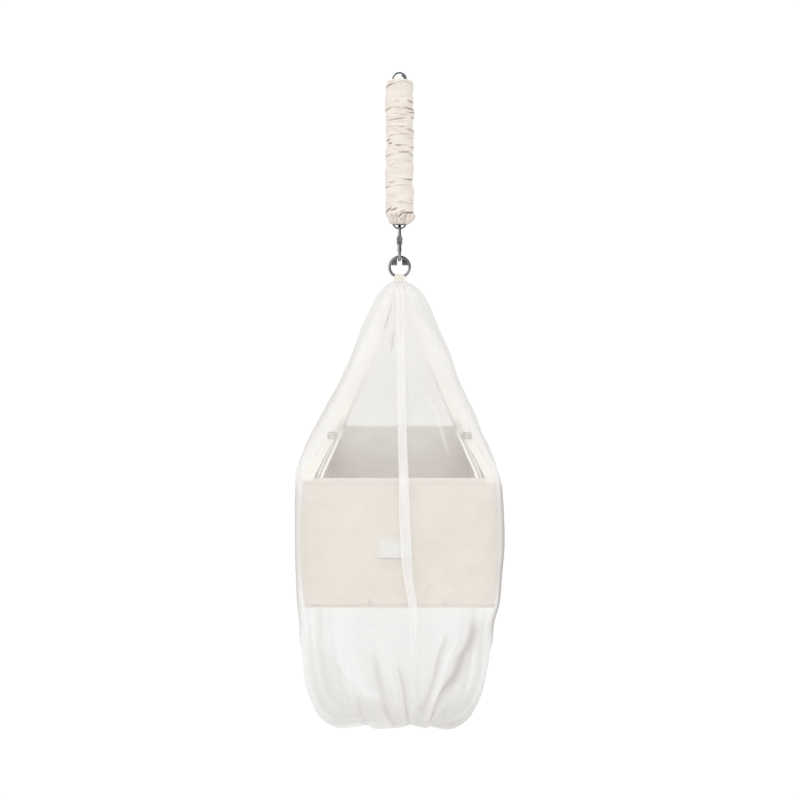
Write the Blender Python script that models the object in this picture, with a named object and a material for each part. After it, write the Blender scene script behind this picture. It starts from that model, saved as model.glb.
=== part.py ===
"""Mosquito net canopy round a hanging cradle: spring in a ruched sleeve, snap hook, ring, straps, cradle and net.

Metres, +Z up. The origin is the inner top of the upper spring loop, where a hook bears, and all else hangs below.
The cradle's length runs along Y, and its near end, with the net's opening, is at -Y.
"""

import math

import bmesh
import bpy
from mathutils import Vector

# Gaps
SEAT_GAP = 0.0003  # between pieces that rest on each other
SEWN_GAP = 0.0005  # between the net's neck and the tab, and the sleeve's ends and the loops

# Spring: one wire, with an eye at each end of an open coil
WIRE_R = 0.0017
EYE_R = 0.0148  # of the wire's middle line
EYE_INNER_R = 0.0109  # of the wire's tail, which lies inside the upper eye
EYE_TOP_Z = WIRE_R
LOWER_EYE_Z = -0.3198  # centre of the lower eye
COIL_R = 0.0190
COIL_TURNS = 15
COIL_TOP_Z = -0.040
COIL_BOTTOM_Z = -0.293

# Ruched sleeve: height, radius, and how far the cloth is drawn in and puffed out unevenly
SLEEVE_THICK = 0.0015
SLEEVE_COLUMNS = 18
SLEEVE_ROWS = (
    # z, radius, unevenness
    (-0.0150, EYE_R + WIRE_R + SEWN_GAP, 0.0),
    (-0.0158, 0.0265, 0.0004),
    (-0.0200, 0.0290, 0.0010),
    (-0.0340, 0.0300, 0.0014),
    (-0.0400, 0.0282, 0.0012),
    (-0.0660, 0.0312, 0.0016),
    (-0.1010, 0.0300, 0.0018),
    (-0.1280, 0.0312, 0.0016),
    (-0.1600, 0.0302, 0.0018),
    (-0.2000, 0.0306, 0.0010),
    (-0.2350, 0.0300, 0.0016),
    (-0.2730, 0.0312, 0.0012),
    (-0.2990, 0.0304, 0.0018),
    (-0.3130, 0.0276, 0.0022),
    (-0.3235, 0.0230, 0.0016),
    (-0.3256, EYE_R + WIRE_R + SEWN_GAP, 0.0),
)

# Snap hook, upright in the YZ plane, its gate towards -Y
HOOK_R = 0.0035
HOOK_HALF = 0.0145  # of the wire's middle line
HOOK_TOP_Z = LOWER_EYE_Z - EYE_R + WIRE_R + SEAT_GAP + HOOK_R
HOOK_BOTTOM_Z = -0.4034
NOSE_Z = -0.3520
HINGE_Z = -0.3829
HINGE_END_Z = HOOK_BOTTOM_Z + HOOK_HALF
TONGUE_HALF = 0.0020
FORK_HALF = 0.0062
FORK_LOW_Z = -0.3704
BARREL_R = 0.0040
SLOT_HALF = 0.0024
PIN_R = 0.0012
PIN_HOLE_R = 0.0016

# Ring with two lugs inside its top
RING_WIRE_R = 0.0031
RING_R = 0.0224
RING_Z = HOOK_BOTTOM_Z + HOOK_R + SEAT_GAP - RING_R + RING_WIRE_R
LUG_GAP_HALF = 0.0052
LUG_OUT = 0.0190
LUG_LOW_Z = RING_Z + 0.0034

# Webbing
TAB_THICK = 0.0022
TAB_PLAY = 0.0008
TAB_TOP_WIDTH = 0.021
TAB_LOW_WIDTH = 0.031
TAB_LOW_Z = -0.4620
STRAP_THICK = 0.0016
STRAP_WIDTH = 0.030
STRAP_TOP_WIDTH = 0.024
STRAP_TOP_Z = -0.4500
STRAP_FAN_Z = TAB_LOW_Z - 0.0020  # where the straps leave the tab and spread
STRAP_FOOT = 0.044  # sewn length inside the cradle
CORNER_TAB_THICK = 0.0014

# Cradle
CRADLE_HALF_X = 0.183
CRADLE_HALF_Y = 0.372
RIM_Z = -0.8262
FLOOR_Z = -1.0765
CANVAS = 0.003
PANEL_GAP = 0.0006  # at the cradle's seams
CORNER_BOW = 0.007  # how far its upright seams bow out
END_BULGE = 0.004
SIDE_BULGE = 0.015
FLOOR_SAG = 0.010

# Label patch on the near end panel
LABEL_X = (-0.0412, 0.0259)
LABEL_Z = (-0.9817, -0.9405)
LABEL_THICK = 0.001

# Net
NET_THICK = 0.002
SLIT = 0.010
SLIT_TOP_Z = -0.500
SLIT_LOW_Z = -1.150
FRONT_COLUMNS = 7  # from the slit to each near corner
CORNER_COLUMNS = 4
SIDE_COLUMNS = 11
BACK_COLUMNS = 12
NECK_Z = -0.4486
NECK_HALF_X = 0.0155
NECK_HALF_Y = 0.0104
NET_ROWS = (
    # z, half width, half length, corner radius, roundness, side swell, middle x, middle y, slit x, fold depth
    (NECK_Z, NECK_HALF_X, NECK_HALF_Y, 0.0018, 0.0, 0.000, 0.000, 0.000, 0.000, 0.0000),
    (NECK_Z - 0.003, NECK_HALF_X, NECK_HALF_Y, 0.0018, 0.0, 0.000, 0.000, 0.000, 0.000, 0.0000),
    (-0.4570, 0.0270, 0.0240, 0.015, 0.8, 0.000, 0.001, 0.000, 0.001, 0.0000),
    (-0.4656, 0.0385, 0.0420, 0.020, 1.0, 0.000, 0.002, 0.000, 0.001, 0.0010),
    (-0.4950, 0.0590, 0.0800, 0.030, 0.8, 0.000, 0.002, 0.000, 0.002, 0.0020),
    (-0.5450, 0.0800, 0.1270, 0.034, 0.4, 0.000, 0.001, 0.000, 0.002, 0.0026),
    (-0.6000, 0.0985, 0.1770, 0.034, 0.2, 0.000, 0.000, 0.000, 0.003, 0.0028),
    (-0.6600, 0.1230, 0.2330, 0.034, 0.1, 0.002, 0.001, 0.000, 0.004, 0.0028),
    (-0.7200, 0.1515, 0.2890, 0.032, 0.0, 0.004, -0.001, 0.000, 0.005, 0.0026),
    (-0.7800, 0.1770, 0.3480, 0.028, 0.0, 0.007, -0.006, 0.000, 0.006, 0.0024),
    (-0.8180, 0.1925, 0.3835, 0.020, 0.0, 0.010, -0.004, 0.000, 0.008, 0.0012),
    (-0.8420, 0.1960, 0.3865, 0.020, 0.0, 0.012, -0.001, 0.000, 0.009, 0.0012),
    (-0.9000, 0.1990, 0.3865, 0.026, 0.0, 0.015, 0.000, 0.000, 0.010, 0.0012),
    (-0.9600, 0.2000, 0.3865, 0.026, 0.0, 0.016, 0.001, 0.000, 0.012, 0.0012),
    (-1.0200, 0.1970, 0.3860, 0.024, 0.0, 0.013, -0.001, 0.000, 0.017, 0.0016),
    (-1.0700, 0.1930, 0.3850, 0.012, 0.0, 0.008, -0.003, 0.000, 0.022, 0.0018),
    (-1.1200, 0.1840, 0.3800, 0.014, 0.0, 0.004, -0.006, -0.001, 0.025, 0.0044),
    (SLIT_LOW_Z, 0.1835, 0.3750, 0.026, 0.0, 0.003, -0.006, -0.003, 0.0255, 0.0056),
    (-1.1800, 0.1830, 0.3680, 0.040, 0.05, 0.002, -0.006, -0.005, 0.026, 0.0070),
    (-1.2400, 0.1815, 0.3420, 0.055, 0.1, 0.000, -0.0075, -0.015, 0.027, 0.0095),
    (-1.3000, 0.1790, 0.2940, 0.066, 0.15, 0.000, -0.009, -0.047, 0.028, 0.0115),
    (-1.3400, 0.1730, 0.2420, 0.066, 0.2, 0.000, -0.0095, -0.070, 0.029, 0.0125),
    (-1.3660, 0.1620, 0.1840, 0.062, 0.3, 0.000, -0.008, -0.086, 0.030, 0.0120),
    (-1.3880, 0.1440, 0.1240, 0.055, 0.4, 0.000, -0.004, -0.098, 0.031, 0.0100),
    (-1.4040, 0.1030, 0.0750, 0.045, 0.8, 0.000, 0.008, -0.106, 0.031, 0.0070),
    (-1.4160, 0.0620, 0.0400, 0.030, 1.0, 0.000, 0.019, -0.111, 0.031, 0.0040),
    (-1.4235, 0.0280, 0.0190, 0.012, 1.0, 0.000, 0.028, -0.114, 0.031, 0.0015),
    (-1.4225, 0.0095, 0.0095, 0.006, 1.0, 0.000, 0.032, -0.116, 0.031, 0.0000),
)
FOLDS = (
    # share of the way round from the slit, share of its width, depth
    (0.030, 0.018, 1.0),
    (0.062, 0.016, -0.8),
    (0.095, 0.020, 1.1),
    (0.140, 0.024, -0.9),
    (0.190, 0.030, 1.0),
    (0.250, 0.034, -0.8),
    (0.315, 0.034, 1.0),
    (0.380, 0.030, -0.9),
    (0.440, 0.026, 1.0),
    (0.500, 0.028, -0.8),
    (0.560, 0.028, 1.1),
    (0.620, 0.030, -0.8),
    (0.685, 0.034, 0.9),
    (0.750, 0.034, -0.9),
    (0.810, 0.030, 1.0),
    (0.858, 0.022, -0.9),
    (0.900, 0.020, 1.1),
    (0.936, 0.016, -0.8),
    (0.968, 0.018, 1.0),
)

# Front placket, a flat band over the slit
PLACKET_THICK = 0.0015
PLACKET_WIDTH = 0.019
PLACKET_GAP = 0.0008
PLACKET_TOP_Z = -0.4660
PLACKET_LOW_Z = -1.1600


def clear_scene():
    for thing in list(bpy.data.objects):
        bpy.data.objects.remove(thing, do_unlink=True)


def material(name, colour, roughness, metallic=0.0):
    made = bpy.data.materials.new(name)
    made.use_nodes = True
    shader = made.node_tree.nodes["Principled BSDF"]
    shader.inputs["Base Color"].default_value = (*colour, 1.0)
    shader.inputs["Roughness"].default_value = roughness
    shader.inputs["Metallic"].default_value = metallic
    return made


def placed(name, data, skin):
    made = bpy.data.objects.new(name, data)
    made.data.materials.append(skin)
    bpy.context.scene.collection.objects.link(made)
    return made


def mesh_from(name, points, faces):
    mesh = bpy.data.meshes.new(name)
    mesh.from_pydata([tuple(p) for p in points], [], faces)
    mesh.update()
    return mesh


def sheet(name, rows, thickness, skin, round_it=False, open_rows=()):
    """A cloth of the given thickness on a grid of its middle points, one list for each row.

    With round_it each row closes on itself, apart from the rows in open_rows, which leave a slit.
    """
    width = len(rows[0])
    points = [p for row in rows for p in row]
    faces = []
    for r in range(len(rows) - 1):
        steps = width if round_it and r not in open_rows else width - 1
        for c in range(steps):
            n = (c + 1) % width
            faces.append((r * width + c, r * width + n, (r + 1) * width + n, (r + 1) * width + c))
    made = placed(name, mesh_from(name, points, faces), skin)
    solid = made.modifiers.new("thickness", "SOLIDIFY")
    solid.thickness = thickness
    solid.offset = 0.0
    solid.use_rim = True
    solid.use_even_offset = False
    return made


def wire(name, points, radius, sides, skin, closed=False):
    """A round wire along a line of points."""
    curve = bpy.data.curves.new(name, "CURVE")
    curve.dimensions = "3D"
    curve.bevel_depth = radius
    curve.bevel_resolution = sides // 2 - 2
    curve.use_fill_caps = not closed
    line = curve.splines.new("POLY")
    line.points.add(len(points) - 1)
    for at, p in zip(line.points, points):
        at.co = (*p, 1.0)
    line.use_cyclic_u = closed
    return placed(name, curve, skin)


def as_mesh(thing):
    """The thing with its curve or modifiers turned into a plain mesh."""
    name = thing.name
    skin = thing.data.materials[0]
    seen = thing.evaluated_get(bpy.context.evaluated_depsgraph_get())
    mesh = bpy.data.meshes.new_from_object(seen)
    bpy.data.objects.remove(thing, do_unlink=True)
    mesh.materials.clear()
    return placed(name, mesh, skin)


def block(name, low, high, skin):
    mesh = bpy.data.meshes.new(name)
    shape = bmesh.new()
    bmesh.ops.create_cube(shape, size=1.0)
    for v in shape.verts:
        v.co = Vector(low[n] + (v.co[n] + 0.5) * (high[n] - low[n]) for n in range(3))
    shape.to_mesh(mesh)
    shape.free()
    return placed(name, mesh, skin)


def rod(name, radius, low, high, axis, centre, sides, skin):
    """A round bar along X or Z, from low to high, with its axis through centre."""
    mesh = bpy.data.meshes.new(name)
    shape = bmesh.new()
    bmesh.ops.create_cone(
        shape, cap_ends=True, segments=sides, radius1=radius, radius2=radius, depth=high - low
    )
    for v in shape.verts:
        x, y, z = v.co
        along = z + (low + high) / 2
        if axis == "X":
            v.co = (along, centre[1] + y, centre[2] - x)
        else:
            v.co = (centre[0] + x, centre[1] + y, along)
    shape.to_mesh(mesh)
    shape.free()
    return placed(name, mesh, skin)


def combine(base, others, operation):
    """The base with the others joined to it or cut from it, and the others gone."""
    for other in others:
        change = base.modifiers.new(operation.lower(), "BOOLEAN")
        change.operation = operation
        change.solver = "EXACT"
        change.object = other
    base = as_mesh(base)
    for other in others:
        bpy.data.objects.remove(other, do_unlink=True)
    return base


def arc(centre, radius, start, end, steps, plane="XZ"):
    """Points of a circle's arc, from start to end in degrees, where 0 is along the first axis and 90 is up."""
    points = []
    for n in range(steps + 1):
        turn = math.radians(start + (end - start) * n / steps)
        across = radius * math.cos(turn)
        up = radius * math.sin(turn)
        if plane == "XZ":
            points.append((centre[0] + across, centre[1], centre[2] + up))
        else:
            points.append((centre[0], centre[1] + across, centre[2] + up))
    return points


def blend(a, b, share):
    return a + (b - a) * share


def smooth(share):
    share = min(max(share, 0.0), 1.0)
    return share * share * (3 - 2 * share)


def make_spring(skin):
    upper = (0, 0, EYE_TOP_Z - EYE_R)
    path = []
    tail_turns = 60 + 180  # degrees from the tail's end, inside the eye, to the eye's left side
    steps = 10
    for n in range(steps):
        share = n / steps
        turn = math.radians(60 - tail_turns * share)
        radius = blend(EYE_INNER_R, EYE_R, smooth(share * 1.1))
        path.append((radius * math.cos(turn), 0.0, upper[2] + radius * math.sin(turn)))
    path += arc(upper, EYE_R, 180, -20, 12)
    path += [(COIL_R * 0.97, -0.001, -0.0270), (COIL_R, 0.001, COIL_TOP_Z + 0.006)]
    steps = COIL_TURNS * 9
    for n in range(steps + 1):
        turn = 2 * math.pi * COIL_TURNS * n / steps
        z = blend(COIL_TOP_Z, COIL_BOTTOM_Z, n / steps)
        path.append((COIL_R * math.cos(turn), COIL_R * math.sin(turn), z))
    path += [(COIL_R, 0.001, COIL_BOTTOM_Z - 0.006), (COIL_R * 0.93, 0, COIL_BOTTOM_Z - 0.013)]
    path += arc((0, 0, LOWER_EYE_Z), EYE_R, 20, -200, 14)
    return wire("hanging_spring", path, WIRE_R, 6, skin)


def make_sleeve(skin):
    rows = []
    for n, (z, radius, rough) in enumerate(SLEEVE_ROWS):
        row = []
        for c in range(SLEEVE_COLUMNS):
            turn = 2 * math.pi * c / SLEEVE_COLUMNS
            puff = math.sin(2 * turn + 1.9 * n) + 0.7 * math.sin(3 * turn - 2.3 * n)
            dip = 0.6 * rough * math.sin(turn * 2 - 1.3 * n)
            r = radius + rough * puff / 1.7
            row.append((r * math.cos(turn), -r * math.sin(turn), z + dip))
        rows.append(row)
    return sheet("spring_sleeve", rows, SLEEVE_THICK, skin, round_it=True)


def make_hook(skin):
    gate_y = -HOOK_HALF
    path = arc((0, 0, HOOK_BOTTOM_Z + HOOK_HALF), HOOK_HALF, 180, 360, 12, "YZ")
    path += arc((0, 0, HOOK_TOP_Z - HOOK_HALF), HOOK_HALF, 0, 180, 10, "YZ")
    path.append((0, gate_y, NOSE_Z))
    frame = as_mesh(wire("carabiner_frame", path, HOOK_R, 10, skin))
    deep = 0.0030
    nose = block(
        "nose", (-TONGUE_HALF, gate_y - deep, NOSE_Z - 0.0085), (TONGUE_HALF, gate_y + deep, NOSE_Z + 0.002), skin
    )
    tongue = block(
        "tongue",
        (-TONGUE_HALF, gate_y - deep, HINGE_END_Z - 0.002),
        (TONGUE_HALF, gate_y + deep, HINGE_Z + 0.0034),
        skin,
    )
    pin = rod("pin", PIN_R, -BARREL_R, BARREL_R, "X", (0, gate_y, HINGE_Z), 10, skin)
    return combine(frame, [nose, tongue, pin], "UNION")


def make_gate(skin):
    gate_y = -HOOK_HALF
    fork_deep = 0.0038
    fork_top = NOSE_Z - 0.0004
    gate = rod(
        "carabiner_gate", BARREL_R, HINGE_Z - 0.0035, FORK_LOW_Z + 0.002, "Z", (0, gate_y, 0), 12, skin
    )
    fork = block(
        "fork", (-FORK_HALF, gate_y - fork_deep, FORK_LOW_Z), (FORK_HALF, gate_y + fork_deep, fork_top), skin
    )
    gate = combine(gate, [fork], "UNION")
    slot = block(
        "slot", (-SLOT_HALF, gate_y - 0.006, NOSE_Z - 0.0095), (SLOT_HALF, gate_y + 0.006, NOSE_Z + 0.002), skin
    )
    hinge_slot = block(
        "hinge_slot",
        (-SLOT_HALF, gate_y - 0.006, HINGE_Z - 0.006),
        (SLOT_HALF, gate_y + 0.006, HINGE_Z + 0.005),
        skin,
    )
    bore = rod("bore", PIN_HOLE_R, -0.008, 0.008, "X", (0, gate_y, HINGE_Z), 10, skin)
    gate = combine(gate, [slot, hinge_slot, bore], "DIFFERENCE")
    hinge = Vector((0, gate_y, HINGE_Z))
    for v in gate.data.vertices:
        v.co -= hinge
    gate.location = hinge
    return gate


def make_ring(skin):
    ring = as_mesh(wire("hanging_ring", arc((0, 0, RING_Z), RING_R, 0, 350, 35), RING_WIRE_R, 10, skin, True))
    lugs = []
    for side in (-1, 1):
        ends = sorted((side * LUG_GAP_HALF, side * LUG_OUT))
        rise = math.sqrt(RING_R**2 - ends[0] ** 2) if side > 0 else math.sqrt(RING_R**2 - ends[1] ** 2)
        deep = RING_WIRE_R * 0.8
        lug = block("lug", (ends[0], -deep, LUG_LOW_Z), (ends[1], deep, RING_Z + rise), skin)
        for v in lug.data.vertices:
            reach = math.sqrt(max(RING_R**2 - v.co.x**2, 0.0))
            if v.co.z > RING_Z + reach:
                v.co.z = RING_Z + reach
        lugs.append(lug)
    return combine(ring, lugs, "UNION")


def make_tab(skin):
    middle = RING_Z - RING_R
    radius = RING_WIRE_R + TAB_PLAY + TAB_THICK / 2
    side = [(0.0100, TAB_LOW_Z), (0.0082, -0.4540), (0.0064, -0.4475)]
    profile = [(-y, z) for y, z in side]
    profile += [(p[1], p[2]) for p in arc((0, 0, middle), radius, 190, -10, 8, "YZ")]
    profile += [(y, z) for y, z in reversed(side)]
    rows = []
    for y, z in profile:
        share = smooth((middle + radius - z) / (middle + radius - TAB_LOW_Z))
        half = blend(TAB_TOP_WIDTH, TAB_LOW_WIDTH, share) / 2
        flatness = smooth((middle - z) / 0.008)  # it takes the ring's curve over the wire
        row = []
        for w in (-1.0, -0.5, 0.0, 0.5, 1.0):
            turn = math.asin(w * half / RING_R)
            reach = RING_R + middle - z
            x = blend(reach * math.sin(turn), w * half, flatness)
            row.append((x, y, blend(RING_Z - reach * math.cos(turn), z, flatness)))
        rows.append(row)
    return sheet("strap_tab", rows, TAB_THICK, skin)


def strap_y(z, start):
    """How far along a strap's middle is from the hanging line, at a height between the tab and the rim."""
    share = (STRAP_FAN_Z - z) / (STRAP_FAN_Z - RIM_Z)
    return blend(start, CRADLE_HALF_Y - CANVAS - 0.0025, share)


def strap_x(z):
    share = (STRAP_FAN_Z - z) / (STRAP_FAN_Z - RIM_Z)
    return blend(0.0012, 0.1615, share)


def strap_start(side, end):
    """The straps' places between the tab's two layers, one behind the other."""
    return 0.0045 if side * end > 0 else 0.0017


def make_strap(name, side, end, skin):
    start = strap_start(side, end)
    stations = [(0.0012, start, STRAP_TOP_Z, STRAP_TOP_WIDTH)]
    steps = 6
    for n in range(steps + 1):
        z = blend(STRAP_FAN_Z, RIM_Z, n / steps)
        width = blend(STRAP_TOP_WIDTH, STRAP_WIDTH, smooth(3 * n / steps))
        stations.append((strap_x(z), strap_y(z, start), z, width))
    foot_y = CRADLE_HALF_Y - CANVAS - SEAT_GAP - STRAP_THICK / 2
    for drop in (0.004, STRAP_FOOT):
        stations.append((strap_x(RIM_Z), foot_y, RIM_Z - drop, STRAP_WIDTH))
    rows = []
    for x, y, z, width in stations:
        rows.append([(side * x + width * w, end * y, z) for w in (-0.5, 0.5)])
    return sheet(name, rows, STRAP_THICK, skin)


def corner_tab_stations(side, end):
    """Middle points and widths of a corner tab, from its sewn tip outside the end panel to its slider."""
    over = CORNER_TAB_THICK / 2 + STRAP_THICK / 2 + SEWN_GAP
    start = strap_start(side, end)
    low = 0.0115 if side > 0 else 0.0060
    outside = CRADLE_HALF_Y + SEWN_GAP + CORNER_TAB_THICK / 2
    made = [
        (0.1730, outside + 0.0001, RIM_Z - low, 0.017),
        (0.1730, outside + 0.0001, RIM_Z - low * 0.5, 0.021),
        (0.1725, outside, RIM_Z + 0.0018, 0.021),
    ]
    for z, x, width in ((-0.8130, 0.1670, 0.0205), (-0.7900, 0.1530, 0.0170), (-0.7560, 0.1320, 0.0120)):
        made.append((x, strap_y(z, start) + 1.41 * over, z, width))
    return made


def make_corner_tab(name, side, end, skin):
    rows = []
    for x, y, z, width in corner_tab_stations(side, end):
        rows.append([(side * x + width * w, end * y, z) for w in (-0.5, 0.5)])
    return sheet(name, rows, CORNER_TAB_THICK, skin)


def make_slider(name, side, end, skin):
    x, y, z, width = corner_tab_stations(side, end)[-1]
    bar = 0.0010
    lift = CORNER_TAB_THICK / 2 + bar + SEWN_GAP
    slope = math.sqrt(0.5)
    middle = Vector((side * x, end * (y + lift * slope), z + lift * slope))
    up = Vector((0, -end * slope, slope))
    half_wide = 0.0085
    half_tall = 0.0065
    corners = []
    for across, along in ((-1, -1), (1, -1), (1, 1), (-1, 1)):
        corners.append(middle + Vector((across * half_wide, 0, 0)) + up * (along * half_tall))
    return wire(name, corners, bar, 6, skin, closed=True)


def wall_swell(along, up):
    """How much of its bulge a cradle wall has, 0 at its seams and 1 in its middle."""
    return (1 - along**2) * (1 - up**2)


def share_up(z):
    """-1 at the floor, 1 at the rim."""
    return (2 * z - RIM_Z - FLOOR_Z) / (RIM_Z - FLOOR_Z)


def corner_x(z):
    return CRADLE_HALF_X + CORNER_BOW * (1 - share_up(z) ** 2)


def end_panel_y(x, z):
    return CRADLE_HALF_Y - CANVAS / 2 + END_BULGE * wall_swell(x / corner_x(z), share_up(z))


def make_end_panel(name, end, skin):
    rows = []
    for r in range(7):
        z = blend(RIM_Z, FLOOR_Z, r / 6)
        row = []
        for c in range(7):
            x = blend(-corner_x(z), corner_x(z), c / 6)
            row.append((x, end * end_panel_y(x, z), z))
        rows.append(row)
    return sheet(name, rows, CANVAS, skin)


def make_side_panel(name, side, skin):
    reach = CRADLE_HALF_Y - CANVAS - PANEL_GAP
    rows = []
    for r in range(7):
        z = blend(RIM_Z, FLOOR_Z, r / 6)
        row = []
        for c in range(9):
            y = blend(-reach, reach, c / 8)
            out = SIDE_BULGE * wall_swell(y / reach, share_up(z))
            row.append((side * (corner_x(z) - CANVAS / 2 + out), y, z))
        rows.append(row)
    return sheet(name, rows, CANVAS, skin)


def make_floor(skin):
    rows = []
    for r in range(9):
        y = blend(-CRADLE_HALF_Y, CRADLE_HALF_Y, r / 8)
        row = []
        for c in range(5):
            x = blend(-CRADLE_HALF_X, CRADLE_HALF_X, c / 4)
            sag = FLOOR_SAG * (1 - (x / CRADLE_HALF_X) ** 2) * (1 - (y / CRADLE_HALF_Y) ** 2)
            row.append((x, y, FLOOR_Z - 2 * PANEL_GAP - CANVAS / 2 - sag))
        rows.append(row)
    return sheet("floor_panel", rows, CANVAS, skin)


def make_label(skin):
    rows = []
    for r in range(3):
        z = blend(LABEL_Z[1], LABEL_Z[0], r / 2)
        row = []
        for c in range(4):
            x = blend(LABEL_X[0], LABEL_X[1], c / 3)
            y = end_panel_y(x, z) + CANVAS / 2 + SEWN_GAP + LABEL_THICK / 2
            row.append((x, -y, z))
        rows.append(row)
    return sheet("label_patch", rows, LABEL_THICK, skin)


def net_row_at(z):
    """The net's section sizes at any height, between the rows of the table."""
    for above, below in zip(NET_ROWS, NET_ROWS[1:]):
        if above[0] >= z >= below[0]:
            share = (above[0] - z) / (above[0] - below[0])
            return [blend(a, b, share) for a, b in zip(above, below)]
    return list(NET_ROWS[0 if z > NET_ROWS[0][0] else -1])


def box_outline(half_x, half_y, radius, swell, slit_x, gap):
    """Points round an oblong with round corners and swollen sides, from the slit's right edge to its left edge."""
    flat_x = half_x - radius
    flat_y = half_y - radius
    points = []
    for n in range(FRONT_COLUMNS):
        points.append((blend(slit_x + gap / 2, flat_x, n / FRONT_COLUMNS), -half_y))
    sides = (
        (flat_x, -flat_y, -90, (half_x, -flat_y), (half_x, flat_y), SIDE_COLUMNS),
        (flat_x, flat_y, 0, (flat_x, half_y), (-flat_x, half_y), BACK_COLUMNS),
        (-flat_x, flat_y, 90, (-half_x, flat_y), (-half_x, -flat_y), SIDE_COLUMNS),
    )
    for middle_x, middle_y, start, low, high, count in sides:
        for n in range(CORNER_COLUMNS):
            turn = math.radians(start + 90 * n / CORNER_COLUMNS)
            points.append((middle_x + radius * math.cos(turn), middle_y + radius * math.sin(turn)))
        for n in range(count):
            x = blend(low[0], high[0], n / count)
            y = blend(low[1], high[1], n / count)
            if count == SIDE_COLUMNS:
                x += math.copysign(swell * (1 - (y / flat_y) ** 2), x)
            points.append((x, y))
    for n in range(CORNER_COLUMNS):
        turn = math.radians(180 + 90 * n / CORNER_COLUMNS)
        points.append((-flat_x + radius * math.cos(turn), -flat_y + radius * math.sin(turn)))
    for n in range(FRONT_COLUMNS + 1):
        points.append((blend(-flat_x, slit_x - gap / 2, n / FRONT_COLUMNS), -half_y))
    return points


def shares_round(points):
    """How far round each point is, from 0 at the slit's right edge to 1 at its left edge."""
    lengths = [0.0]
    for a, b in zip(points, points[1:]):
        lengths.append(lengths[-1] + math.dist(a, b))
    return [length / lengths[-1] for length in lengths]


def fold_at(share):
    """The net's hanging folds: out is positive. They are still at the slit, under the placket."""
    depth = 0.0
    for middle, width, height in FOLDS:
        depth += height * math.exp(-(((share - middle) / width) ** 2))
    return depth * smooth(share / 0.03) * smooth((1 - share) / 0.03)


def make_net(skin):
    gap_share = 0.004
    wide = net_row_at(RIM_Z)
    shares = shares_round(box_outline(wide[1], wide[2], wide[3], 0.0, wide[8], SLIT))
    rows = []
    for z, half_x, half_y, radius, roundness, swell, mid_x, mid_y, slit_x, depth in NET_ROWS:
        gap = min(SLIT, half_x / 3)
        boxed = box_outline(half_x, half_y, radius, swell, slit_x - mid_x, gap)
        row = []
        for (x, y), share in zip(boxed, shares):
            turn = 2 * math.pi * blend(gap_share, 1 - gap_share, share)
            oval = (half_x * math.sin(turn), -half_y * math.cos(turn))
            x = blend(x, oval[0], roundness)
            y = blend(y, oval[1], roundness)
            out = Vector((x / half_x**2, y / half_y**2)).normalized()
            push = depth * fold_at(share)
            row.append((mid_x + x + out.x * push, mid_y + y + out.y * push, z))
        rows.append(row)
    slit_rows = [n for n, row in enumerate(NET_ROWS) if SLIT_TOP_Z >= row[0] > SLIT_LOW_Z]
    return sheet("net_canopy", rows, NET_THICK, skin, round_it=True, open_rows=slit_rows)


def front_of_net(z):
    row = net_row_at(z)
    return row[8], row[7] - row[2]


def make_placket(skin):
    over = NET_THICK / 2 + PLACKET_GAP + PLACKET_THICK / 2
    levels = sorted(
        {PLACKET_TOP_Z, PLACKET_LOW_Z} | {row[0] for row in NET_ROWS if PLACKET_TOP_Z > row[0] > PLACKET_LOW_Z},
        reverse=True,
    )
    rows = []
    for z in levels:
        x, y = front_of_net(z)
        above = front_of_net(z + 0.004)
        below = front_of_net(z - 0.004)
        along = Vector((0, below[1] - above[1], -0.008)).normalized()
        out = Vector((0, along.z, -along.y))
        middle = Vector((x, y, z)) + out * over
        rows.append([middle + Vector((PLACKET_WIDTH * w, 0, 0)) for w in (-0.5, 0.5)])
    return sheet("front_placket", rows, PLACKET_THICK, skin)


def main():
    clear_scene()
    steel = material("steel", (0.36, 0.36, 0.35), 0.32, 1.0)
    spring_steel = material("spring_steel", (0.25, 0.25, 0.26), 0.35, 1.0)
    cotton = material("sleeve_cotton", (0.86, 0.80, 0.74), 0.9)
    canvas = material("cradle_canvas", (0.82, 0.76, 0.69), 0.9)
    webbing = material("webbing", (0.87, 0.84, 0.78), 0.85)
    patch = material("patch", (0.88, 0.86, 0.82), 0.8)
    sheer = material("sheer_net", (0.93, 0.93, 0.92), 0.8)
    band = material("placket_cloth", (0.94, 0.94, 0.95), 0.8)
    make_spring(spring_steel)
    make_sleeve(cotton)
    make_hook(steel)
    make_gate(steel)
    make_ring(steel)
    make_tab(webbing)
    for end_name, end in (("near", -1), ("far", 1)):
        for side_name, side in (("left", -1), ("right", 1)):
            corner = f"{end_name}_{side_name}"
            make_strap(f"strap_{corner}", side, end, webbing)
            make_corner_tab(f"corner_tab_{corner}", side, end, webbing)
            make_slider(f"slider_{corner}", side, end, steel)
        make_end_panel(f"end_panel_{end_name}", end, canvas)
    make_side_panel("side_panel_left", -1, canvas)
    make_side_panel("side_panel_right", 1, canvas)
    make_floor(canvas)
    make_label(patch)
    make_net(sheer)
    make_placket(band)


main()
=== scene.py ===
"""Sheer mosquito net canopy round a hanging canvas cradle, on its snap hook and spring in a ruched sleeve."""
import math

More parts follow.
